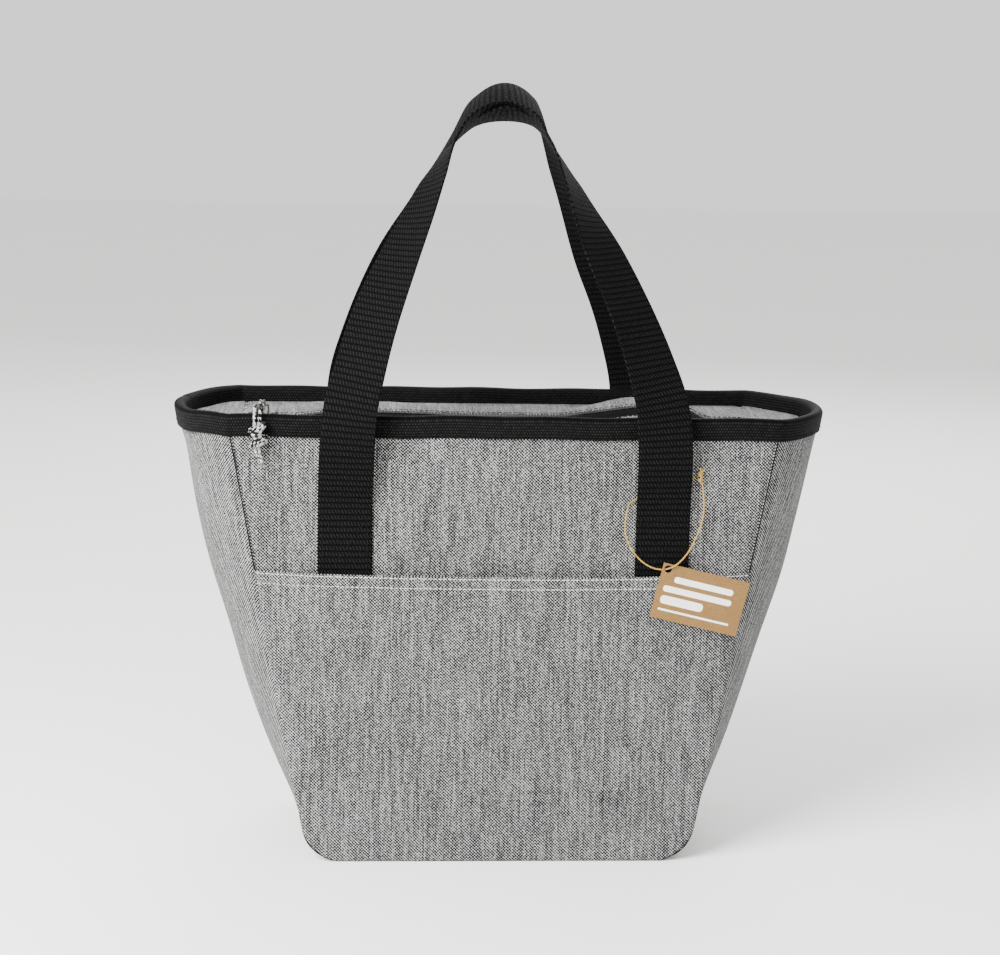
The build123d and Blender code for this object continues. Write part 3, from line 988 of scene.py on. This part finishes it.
def pocket_gape(x, z):
    """How far the pocket's cloth stands off the panel."""
    width = corner_half_width(z)
    room = np.clip(1 - (np.abs(x) / width) ** 6, 0, 1)
    share = smooth_step((z - 0.02) / (POCKET_TOP - 0.02))
    full = -POCKET_FACE - HALF_DEPTH - 0.0012
    slack = 0.0009 * np.sin(x * 26 + 0.6) * smooth_step((z - 0.12) / 0.07)
    return 0.0009 + room * (full * share**1.6 + slack)


def mouth_rise(x):
    """How much the pocket's edge rises towards the side seams."""
    return 0.00256 * (np.abs(x) / 0.17) ** 2


def make_pocket():
    """The pocket's cloth with its folded hem, a row of pale stitches along the hem's lower fold, and a pale
    row just under the edge that is a painted highlight on the fold.
    """
    z, x = panel_grid(POCKET_TOP, 0.0006, 141, 120)
    z = z + mouth_rise(x) * smooth_step((z - 0.15) / 0.05)
    edge = np.minimum(corner_half_width(z) - np.abs(x), z)
    puff = panel_puff(x, z, -1) * smooth_step(edge / 0.03)
    hem_low = POCKET_TOP - 0.0092
    hem = 0.0007 * smooth_step((z - hem_low) / 0.0008)
    top_roll = -0.0006 * smooth_step((z - POCKET_TOP + 0.0012) / 0.0012)
    pinch = -0.0005 * np.exp(-((z - hem_low - 0.0006) / 0.0009) ** 2)
    out = pocket_gape(x, z) + puff + hem + top_roll + pinch - roll_in(edge, 0.0010, 0.004)
    weave = np.stack([x + 0.0311, z + 0.0107], axis=2)
    cloth = np.stack([x, -(HALF_DEPTH + out), z], axis=2)
    piece = slab("pocket_cloth", cloth[:, ::-1], CLOTH * 0.7, twill, weave[:, ::-1])
    seam_x(POCKET_TOP) * 2
    fix_to(piece, "bag", "grey_fabric", "front_pocket")
    # one pale row just under the edge, a painted highlight on the folded edge, and one row of stitches along
    # the hem's lower fold
    guides = []
    for drop, hem_out in ((0.0016, 0.0006), (0.0084, 0.0004)):
        level = POCKET_TOP - drop
        gx = np.linspace(-1, 1, 160) * (seam_x(level) - 0.0022)
        gz = level + mouth_rise(gx)
        edge_gap = np.abs(seam_x(gz) - np.abs(gx))
        stand = pocket_gape(gx, gz) + panel_puff(gx, gz, -1) * smooth_step(edge_gap / 0.03) + hem_out
        stand = stand - roll_in(edge_gap, 0.0010, 0.004)
        guides.append(np.stack([gx, -(HALF_DEPTH + stand + 0.00012), gz], axis=1))
    fix_to(repeated("pocket_stitches", guides, stitch_pale, pale_thread), "bag", "grey_fabric")


def rim_outline(offset, level, count):
    """The closed line of the rim at an offset outside the cloth: points, outward directions, run."""
    w = seam_x(level)
    sag = float(bulge(min(level, RIM_TOP - 0.003)))
    arc_y = np.linspace(-HALF_DEPTH, HALF_DEPTH, 90)
    arc_x = w + arc_offset(arc_y, sag)
    front = np.stack([np.linspace(-w, w, 160)[1:-1], np.full(158, -HALF_DEPTH)], axis=1)
    right = np.stack([arc_x, arc_y], axis=1)
    back = np.stack([np.linspace(w, -w, 160)[1:-1], np.full(158, HALF_DEPTH)], axis=1)
    left = np.stack([-arc_x[::-1], arc_y[::-1]], axis=1)
    loop = np.concatenate([front, right, back, left])
    closed = np.concatenate([loop, loop[:1]])
    s = along_line(closed)
    at = np.linspace(0, s[-1], count, endpoint=False)
    loop = np.stack([np.interp(at, s, closed[:, k]) for k in (0, 1)], axis=1)
    for _ in range(6):
        loop = (np.roll(loop, 1, 0) + loop * 2 + np.roll(loop, -1, 0)) / 4
    out = outward(loop)
    return loop + out * offset, out, at


def binding_profile(half, wall, tall, crown):
    """Across the folded tape, as (across, up) from its top: the outer skin, then the inner one."""
    sides = np.linspace(0, 1, 8)
    skin = [(half, -tall + t * (tall - crown)) for t in sides]
    for a in np.linspace(0, math.pi, 13)[1:-1]:
        skin.append((half * math.cos(a), -crown + crown * math.sin(a)))
    skin += [(-half, -tall + t * (tall - crown)) for t in sides[::-1]]
    fold, inner = crown - 0.0005, half - wall
    return skin, [(-inner, -tall), (-inner, -fold), (inner, -fold), (inner, -tall)]


def make_binding():
    """The folded tape over the rim: a channel with a rounded top, lapped over itself at the back."""
    half = 0.0041
    tall = RIM_TOP - BINDING_LOW
    loop, out, run = rim_outline(-0.0027, RIM_TOP - tall / 2, 900)
    skin, inner = binding_profile(half, 0.0012, tall, 0.0035)
    profile = skin + inner
    lean = SIDE_SLOPE * 0.9
    lap = smooth_step((loop[:, 0] + 0.022) / 0.0015) * smooth_step((0.006 - loop[:, 0]) / 0.0015)
    lap = lap * (loop[:, 1] > 0)
    wave = 0.0005 * np.sin(run * 95) + 0.0004 * np.sin(run * 41 + 1.0)
    pinch = -0.0020 * np.exp(-(((loop[:, 0] + 0.212) / 0.010) ** 2)) * (loop[:, 1] < 0.02)
    side_share = np.clip(np.abs(out[:, 0]), 0, 1)
    rings, weave = [], []
    for i in range(len(loop)):
        for k, (across, up) in enumerate(profile):
            shift, droop = across, (wave[i] + pinch[i]) * 0.6
            if k < len(skin):
                tuck = 0.00035 * math.exp(-(((up + tall - 0.0016) / 0.0007) ** 2))
                shift += 0.0005 * lap[i] * (1 if across > 0 else -1) - tuck * np.sign(across)
            else:
                droop *= 0.6
            base = loop[i] + out[i] * (shift + lean * (up + tall / 2) * side_share[i])
            rings.append((base[0], base[1], RIM_TOP - 0.0006 + up + droop))
            weave.append((up + across, run[i]))
    rings = np.array(rings).reshape(len(loop), len(profile), 3)
    piece = swept("rim_tape", rings, tape_cloth, True, np.array(weave))
    fix_to(piece, "bag", "black_binding", "rim_binding")
    guides = []
    for side in (1, -1):
        line = loop + out * (side * (half + 0.00005) - lean * 0.005 * side_share[:, None])
        guide = np.concatenate([line, np.full((len(line), 1), BINDING_LOW + 0.0014)], axis=1)
        guides.append(np.concatenate([guide, guide[:1]]))
    fix_to(repeated("rim_stitches", guides, stitch_dark, dark_thread), "bag", "black_binding")


def tub_loop(z, inset, pucker):
    """The bag's inside at one height, as a closed loop of points."""
    w = float(corner_half_width(np.array([z]), inset)[0])
    y = HALF_DEPTH - inset
    arc_y = np.linspace(-y, y, 61)
    arc_x = w + arc_offset(arc_y * HALF_DEPTH / y, float(bulge(z)))
    front = np.stack([np.linspace(-w, w, 60)[1:-1], np.full(58, -y)], axis=1)
    right = np.stack([arc_x, arc_y], axis=1)
    loop = np.concatenate([front, right, -front, -right])
    at = along_line(loop)
    crinkle = pucker * (np.sin(at * 70 + z * 31) * np.sin(z * 83 + at * 9) - 1)
    return loop + outward(loop) * crinkle[:, None]


def make_tub(name, inset, thickness, material, pucker):
    """A tub that follows the bag's inside: walls, rounded foot and floor."""
    top, foot = LID_Z - 0.0012, CORNER_R - inset
    rounded_levels = inset + foot * (1 - np.cos(np.linspace(0.12, math.pi / 2, 10)))
    levels = np.concatenate([rounded_levels, np.linspace(CORNER_R + 0.004, top, 46)])
    rings = []
    for z in levels:
        loop = tub_loop(z, inset, pucker * smooth_step((top - z) / 0.02))
        rings.append(np.concatenate([loop, np.full((len(loop), 1), z)], axis=1))
    outer = np.array(rings)
    inner = outer.copy()
    for ring, z in zip(inner, levels):
        ring[:, :2] -= outward(ring[:, :2]) * thickness
        ring[:, 2] += thickness * (1 - smooth_step((z - inset) / foot))
    skin = np.concatenate([outer, inner[::-1]])
    total, count = skin.shape[:2]
    faces = []
    for r in range(total - 1):
        for c in range(count):
            d = (c + 1) % count
            faces.append((r * count + c, r * count + d, (r + 1) * count + d, (r + 1) * count + c))
    floor_point, last = total * count, (total - 1) * count
    points = np.concatenate([skin.reshape(-1, 3), [(0, 0, inset)], [(0, 0, inset + thickness)]])
    for c in range(count):
        d = (c + 1) % count
        faces.append((d, c, floor_point))
        faces.append((last + c, last + d, floor_point + 1))
    return closed_piece(name, points, faces, material)


stitch_pale = repeat_tree("pale_stitch_row", True, 0.0033, 0.00028, 0.0014, pale_thread)
stitch_dark = repeat_tree("dark_stitch_row", True, 0.0036, 0.00028, 0.0014, dark_thread)
coil_turns = repeat_tree("coil_turns", False, 0.0014, 0.00052, 0.0013, coil_black)

make_panel("front_cloth", "front_panel", -1)
make_panel("back_cloth", "back_panel", 1)
make_gusset("left_gusset_cloth", "left_gusset", -1)
make_gusset("right_gusset_cloth", "right_gusset", 1)
make_base()
# dark cords in the side seams stand in for their shade: painted shade
make_seam_shade_cords()
make_pocket()
make_binding()
foam_tub = make_tub("insulation_tub", 0.0028, 0.0021, foam_white, 0.0)
lining_tub = make_tub("lining_tub", 0.0052, 0.0004, film, 0.0009)
SIDES = ("front", "back", "left", "right", "base")
fix_to(foam_tub, "bag", "foam", *(f"{side}_insulation" for side in SIDES))
fix_to(lining_tub, "bag", "silver_lining", *(f"{side}_lining" for side in SIDES))


# ---------------------------------------------------------------- lid and zip
LID_INSET = 0.0069
LID_EDGE = 0.0676
LINER_REACH = 0.1298
LINER_DEPTH = (0.0165, 0.0590)
# the height of the slack cloth along the zip, as (x, rise)
LID_WAVE = (
    (-0.200, 0.0), (-0.155, 0.0), (-0.140, 0.0), (-0.123, 0.0030), (-0.085, 0.0036), (-0.056, 0.0030),
    (-0.035, 0.0020), (0.0, 0.0018), (0.042, 0.0016), (0.071, 0.0056), (0.099, 0.0094), (0.130, 0.0094),
    (0.147, 0.0), (0.210, 0.0),
)
LID_FOLDS = (
    (0.0022, (0.090, 0.030), (0.75, 0.66), 0.035, 0.010),
    (0.0020, (-0.080, 0.036), (0.9, -0.4), 0.045, 0.009),
    (-0.0022, (0.020, 0.034), (0.95, 0.3), 0.060, 0.010),
    (0.0018, (-0.150, 0.030), (0.5, 0.86), 0.040, 0.010),
    (0.0020, (-0.010, -0.040), (0.95, 0.2), 0.070, 0.010),
)
# each side's sign of y, and how far from the middle its cloth's folded edge and its stitches lie
LID_SIDES = (("front", -1, 0.0116, 0.0136), ("back", 1, 0.0068, 0.0086))


def lid_height(x, y):
    """The lid's fabric, slack between the zip and its sewn edges."""
    wave_x, wave_z = zip(*LID_WAVE)
    crown = sum(np.interp(x + step, wave_x, wave_z) for step in (-0.006, -0.003, 0.0, 0.003, 0.006)) / 5
    share = smooth_step((0.0675 - np.abs(y)) / 0.040)
    ripple = 0.0007 * np.sin(x * 88 + y * 40) * np.sin(y * 61 + 1.0)
    edge = smooth_step((0.0675 - np.abs(y)) / 0.012) * smooth_step((np.abs(y) - 0.008) / 0.010)
    tilt = -0.0052 * smooth_step((-y - 0.001) / 0.014) * smooth_step((0.0675 + y) / 0.03)
    tilt = tilt * smooth_step((0.172 - np.abs(x)) / 0.02)
    seam = -0.0012 * np.exp(-(((np.abs(x) - 0.181) / 0.0014) ** 2)) * smooth_step((np.abs(y) - 0.010) / 0.01)
    return LID_Z + crown * share + (raised(LID_FOLDS, x, y) + ripple) * edge + seam + tilt


def lid_end(y):
    """How far the lid reaches at depth y."""
    return seam_x(LID_Z) - LID_INSET * 1.02 + arc_offset(y, float(bulge(LID_Z)))


def zip_reach(x_sign):
    """How far the zip runs from the middle on one side."""
    return -ZIP_LEFT if x_sign < 0 else ZIP_RIGHT


def lid_part(x_sign, y_sign, reach, depth, drop, rows):
    """A grid over one quarter of the lid, from the middle outwards and from the zip to the rim.

    Without a reach it runs to the lid's end, and closes over the middle past the zip."""
    columns = 200
    y = np.linspace(depth[0], depth[1], rows)[:, None] * np.ones((1, columns))
    end = lid_end(y) if reach is None else np.full_like(y, reach)
    x = np.linspace(0, 1, columns)[None, :] * end
    if reach is None:
        past = smooth_step((x - zip_reach(x_sign) - 0.004) / 0.006)
        inner = 0.0001 + (depth[0] - 0.0001) * (1 - past)
        y = inner + (y - depth[0]) / (depth[1] - depth[0]) * (depth[1] - inner)
    x, y = x * x_sign, y * y_sign
    grid = np.stack([x, y, lid_height(x, y) + drop], axis=2)
    return grid[:, ::-1] if x_sign * y_sign < 0 else grid


def make_lid_quarter(side, y_sign, cloth_edge, stitch_at, end, x_sign):
    """One quarter of the lid, from its middle out to its sewn end: cloth, zip tape, coil, foam, lining and
    stitches.
    """

    def hold(piece, slot, *nodes):
        if nodes:
            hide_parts(*nodes)
        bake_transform(piece)

    cloth = lid_part(x_sign, y_sign, None, (cloth_edge, LID_EDGE), 0.0006, 26)
    cloth[:, :, 2] -= 0.0004 * smooth_step((cloth_edge + 0.0027 - np.abs(cloth[:, :, 1])) / 0.0028)
    piece = slab(f"{side}_{end}_lid_cloth", cloth, 0.0005, painted_lighter_lid_twill, cloth[:, :, :2])
    hold(piece, "grey_fabric", f"{side}_flap", f"{end}_lid_end")
    float(lid_end(0.03))

    tape = lid_part(x_sign, y_sign, zip_reach(x_sign), (0.0034, 0.0162), -0.0003, 10)
    piece = slab(f"{side}_{end}_tape", tape, 0.0005, zip_tape_cloth)
    hold(piece, "zip_tape", f"{side}_zip_tape", f"{end}_zip_end_tape")

    run = np.linspace(0.0004, zip_reach(x_sign) - 0.0004, 200) * x_sign
    coil = np.stack([run, np.full(200, y_sign * 0.0020), lid_height(run, run * 0) - 0.0002], axis=1)
    piece = repeated(f"{side}_{end}_coil", [coil], coil_turns, coil_black)
    hold(piece, "zip_coil", f"{side}_zip_coil", f"{end}_zip_end_coil")

    foam = lid_part(x_sign, y_sign, LINER_REACH, LINER_DEPTH, -0.0009, 18)
    piece = slab(f"{side}_{end}_lid_foam", foam, 0.0028, foam_white)
    hold(piece, "foam", f"{side}_flap_insulation")

    lining = lid_part(x_sign, y_sign, LINER_REACH, LINER_DEPTH, -0.0038, 18)
    piece = slab(f"{side}_{end}_lid_lining", lining, 0.0004, film)
    hold(piece, "silver_lining", f"{side}_flap_lining")

    row_y = np.full(200, y_sign * stitch_at)
    seam = np.stack([run, row_y, lid_height(run, row_y) + 0.0008], axis=1)
    hold(repeated(f"{side}_{end}_lid_stitches", [seam], stitch_dark, dark_thread), "grey_fabric")


for lid_side in LID_SIDES:
    make_lid_quarter(*lid_side, "left", -1)
    make_lid_quarter(*lid_side, "right", 1)

# ---------------------------------------------------------------- handles
# Stations up the left leg, in millimetres and degrees: x, how far out, z and the webbing's turn
FRONT_STATIONS = [
    (-107.5, 77.3, 253, 0), (-107.3, 80.8, 264, 0), (-107.0, 84.4, 276, 0), (-106.6, 87.0, 289, 0),
    (-104.0, 87.0, 320, 12), (-97.5, 80.5, 347, 24), (-87.5, 68.5, 380, 34), (-74.5, 54.0, 412, 44),
    (-60.5, 39.5, 443, 60), (-49.0, 26.5, 469, 74), (-37.0, 14.0, 491.5, 90), (-20.5, 4.5, 508.5, 104),
    (0, 0.5, 513.5, 112),
]
BACK_STATIONS = FRONT_STATIONS[:8] + [
    (-60.5, 41.0, 444, 60), (-48.5, 29.5, 471, 74), (-36.5, 18.0, 494.5, 92), (-21.0, 6.0, 516.5, 107),
    (0, 0.5, 525.5, 115),
]


def through(points, steps):
    """A smooth line through every point, as many steps between each two."""
    points = np.asarray(points, float)
    gaps = np.sqrt(np.linalg.norm(np.diff(points[:, :3], axis=0), axis=1))
    t = np.concatenate([[0], np.cumsum(gaps)])
    slope = np.gradient(points, t, axis=0)
    found = []
    for i in range(len(points) - 1):
        h = t[i + 1] - t[i]
        for u in np.linspace(0, 1, steps, endpoint=False):
            a, b = 2 * u**3 - 3 * u**2 + 1, u**3 - 2 * u**2 + u
            c, d = -2 * u**3 + 3 * u**2, u**3 - u**2
            found.append(a * points[i] + b * h * slope[i] + c * points[i + 1] + d * h * slope[i + 1])
    found.append(points[-1])
    return np.array(found)


def webbing_profile():
    """Across the webbing: a flat strip with rounded edges, as (across, out) shares of width and thickness."""
    side = np.linspace(-1, 1, 15)[1:-1] * 0.965
    points = [(a, 0.5) for a in side]
    for angle in np.linspace(math.pi / 2, -math.pi / 2, 7):
        points.append((0.965 + 0.035 * math.cos(angle), 0.5 * math.sin(angle)))
    points += [(a, -0.5) for a in side[::-1]]
    for angle in np.linspace(-math.pi / 2, -3 * math.pi / 2, 7):
        points.append((-0.965 + 0.035 * math.cos(angle), 0.5 * math.sin(angle)))
    return np.array(points)


def handle_lines(y_sign, stations):
    """The webbing's middle line from one sewn tail to the other, with its width and face directions."""
    left = [(x / 1000, y_sign * y / 1000, z / 1000, math.radians(a)) for x, y, z, a in stations]
    foot_x = left[0][0]
    tail = []
    for z in (TAIL_LOW, TAIL_LOW + 0.014, TAIL_LOW + 0.030, TAIL_TOP - 0.003):
        puff = float(panel_puff(np.array(foot_x), np.array(z), y_sign))
        tail.append((foot_x, y_sign * (HALF_DEPTH + max(puff, 0) + 0.0012), z, 0.0))
    half = tail + left
    mirrored = [(-x, y, z, a) for x, y, z, a in half[-2::-1]]
    path = through(half + mirrored, 22)
    path = path[:len(path) // 2 + 1]
    s = along_line(path[:, :3])
    at = np.linspace(0, s[-1], int(s[-1] / 0.0015))
    path = np.stack([np.interp(at, s, path[:, k]) for k in range(4)], axis=1)
    centre, turn = path[:, :3], path[:, 3]
    tangent = np.gradient(centre, axis=0)
    tangent[-1] = (1, 0, 0)
    tangent /= np.linalg.norm(tangent, axis=1, keepdims=True)
    flat = np.stack([tangent[:, 2], 0 * turn, -tangent[:, 0]], axis=1)
    flat /= np.linalg.norm(flat, axis=1, keepdims=True)
    across = np.cross(tangent, flat)
    wide = flat * np.cos(turn)[:, None] + across * (y_sign * np.sin(turn))[:, None]
    mirror = np.array([-1, 1, 1])
    centre = np.concatenate([centre, (centre * mirror)[-2::-1]])
    wide = np.concatenate([wide, (wide * mirror)[-2::-1]])
    # the right legs lean in a little more than the left ones
    lean = smooth_step((centre[:, 2] - 0.31) / 0.12) * smooth_step((0.522 - centre[:, 2]) / 0.03)
    centre[:, 0] -= 0.0055 * lean * smooth_step(centre[:, 0] / 0.04)
    for _ in range(12):
        centre[1:-1] = (centre[:-2] + centre[1:-1] * 2 + centre[2:]) / 4
    tangent = np.gradient(centre, axis=0)
    tangent /= np.linalg.norm(tangent, axis=1, keepdims=True)
    face = np.cross(wide, tangent)
    face /= np.linalg.norm(face, axis=1, keepdims=True)
    return centre, wide, face, along_line(centre)


def box_stitches(side, y_sign, foot_x, foot_y):
    """A box with a cross in it, sewn through both tails of a handle."""
    guides = []
    y = y_sign * (foot_y + WEBBING / 2 + 0.0001)
    low, high, reach = TAIL_LOW + 0.005, TAIL_TOP - 0.003, WEBBING_WIDTH / 2 - 0.0035
    for x in (-foot_x, foot_x):
        a, b, c, d = (x - reach, low), (x + reach, low), (x + reach, high), (x - reach, high)
        for run in ((a, b, c, d, a, c), (b, d)):
            guides.append(np.array([(along, y, z) for along, z in run]))
    rows = repeated(f"{side}_strap_stitches", guides, stitch_dark, dark_thread)
    fix_to(rows, "bag", "black_webbing")


def make_handle(side, y_sign, stations):
    """One handle of webbing, from sewn tail to sewn tail, arching up above its hinge line."""
    centre, wide, face, s = handle_lines(y_sign, stations)
    profile = webbing_profile()
    free = smooth_step((centre[:, 2] - 0.33) / 0.08)
    wobble = 0.0006 * np.sin(s * 60) * free
    rings, weave = [], []
    for i in range(len(centre)):
        across = profile[:, 0] * WEBBING_WIDTH / 2
        cup = 0.0011 * free[i] * (profile[:, 0] ** 2 - 0.4) + wobble[i] * profile[:, 0]
        out = profile[:, 1] * WEBBING + cup
        rings.append(centre[i] + wide[i] * across[:, None] + face[i] * out[:, None])
        weave += [(a, s[i]) for a in across + (profile[:, 1] < -0.4) * 0.0011]
    handle = swept(f"{side}_handle_webbing", np.array(rings), webbing_cloth, False, np.array(weave))
    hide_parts(f"{side}_handle", f"{side}_left_strap_tail", f"{side}_right_strap_tail")
    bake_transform(handle)
    box_stitches(side, y_sign, abs(float(centre[0][0])), abs(float(centre[8][1])))


make_handle("front", -1, FRONT_STATIONS)
make_handle("back", 1, BACK_STATIONS)

# ---------------------------------------------------------------- hang tag
TAG_CENTRE = (0.1334, 0.1894)
TAG_TILT = math.radians(-13.3)
TAG_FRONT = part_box("hang_tag")[0][1]


def on_tag(u, v):
    """A point of the tag's face, from its own middle, as x and z."""
    return (TAG_CENTRE[0] + u * math.cos(TAG_TILT) - v * math.sin(TAG_TILT),
            TAG_CENTRE[1] + u * math.sin(TAG_TILT) + v * math.cos(TAG_TILT))


def rounded(half_wide, half_tall, radius, middle):
    """The outline of a bar with rounded corners."""
    outline = []
    for cx, cy, start in ((1, 1, 0), (-1, 1, 90), (-1, -1, 180), (1, -1, 270)):
        for step in range(5):
            angle = math.radians(start + step * 22.5)
            outline.append((middle[0] + cx * (half_wide - radius) + radius * math.cos(angle),
                            middle[1] + cy * (half_tall - radius) + radius * math.sin(angle)))
    return outline


def ink_bar(outline):
    """A film of ink within an outline, on the tag's face."""
    thickness = 0.00005
    curve = bpy.data.curves.new("bar", "CURVE")
    curve.dimensions = "2D"
    curve.fill_mode = "BOTH"
    curve.extrude = thickness / 2
    spline = curve.splines.new("POLY")
    spline.points.add(len(outline) - 1)
    for point, (u, v) in zip(spline.points, outline):
        point.co = (*on_tag(u, v), 0.0, 1.0)
    spline.use_cyclic_u = True
    shape = placed("bar", curve)
    mesh = plain_mesh(shape)
    bpy.data.objects.remove(shape)
    for vertex in mesh.vertices:
        x, z, out = vertex.co
        vertex.co = (x, TAG_FRONT - thickness / 2 - out, z)
    mesh.materials.clear()
    mesh.materials.append(card_ink)
    return placed("bar", mesh)


def make_tag():
    """Four plain bars in place of print."""
    left = -0.0265
    bars = []
    for v, wide, tall, indent in (
        (0.0095, 0.0415, 0.0042, 0.006), (0.0022, 0.0480, 0.0042, 0.0),
        (-0.0055, 0.0300, 0.0058, 0.0), (-0.0125, 0.0500, 0.0014, 0.0),
    ):
        bars.append(ink_bar(rounded(wide / 2, tall / 2, tall * 0.42, (wide / 2 + left + indent, v))))
    fix_to(joined("tag_bars", bars), "hang_tag", "kraft_card")


make_tag()

# ---------------------------------------------------------------- hard pieces kept from the frame
for node, material, edge in (
    ("base_board", board_plastic("board_plastic"), 0.0004), ("hang_tag", card_stock, 0.00008),
    ("zip_slider", metal_black, 0.0003), ("slider_bail", metal_black, 0.0003),
    ("top_stop", metal_black, 0.0003), ("bottom_stop", metal_black, 0.0003),
):
    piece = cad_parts[node]
    piece.data.materials.clear()
    piece.data.materials.append(material)
    bevel = piece.modifiers.new("edge", "BEVEL")
    bevel.width = edge
    bevel.segments = 2
    bevel.limit_method = "ANGLE"
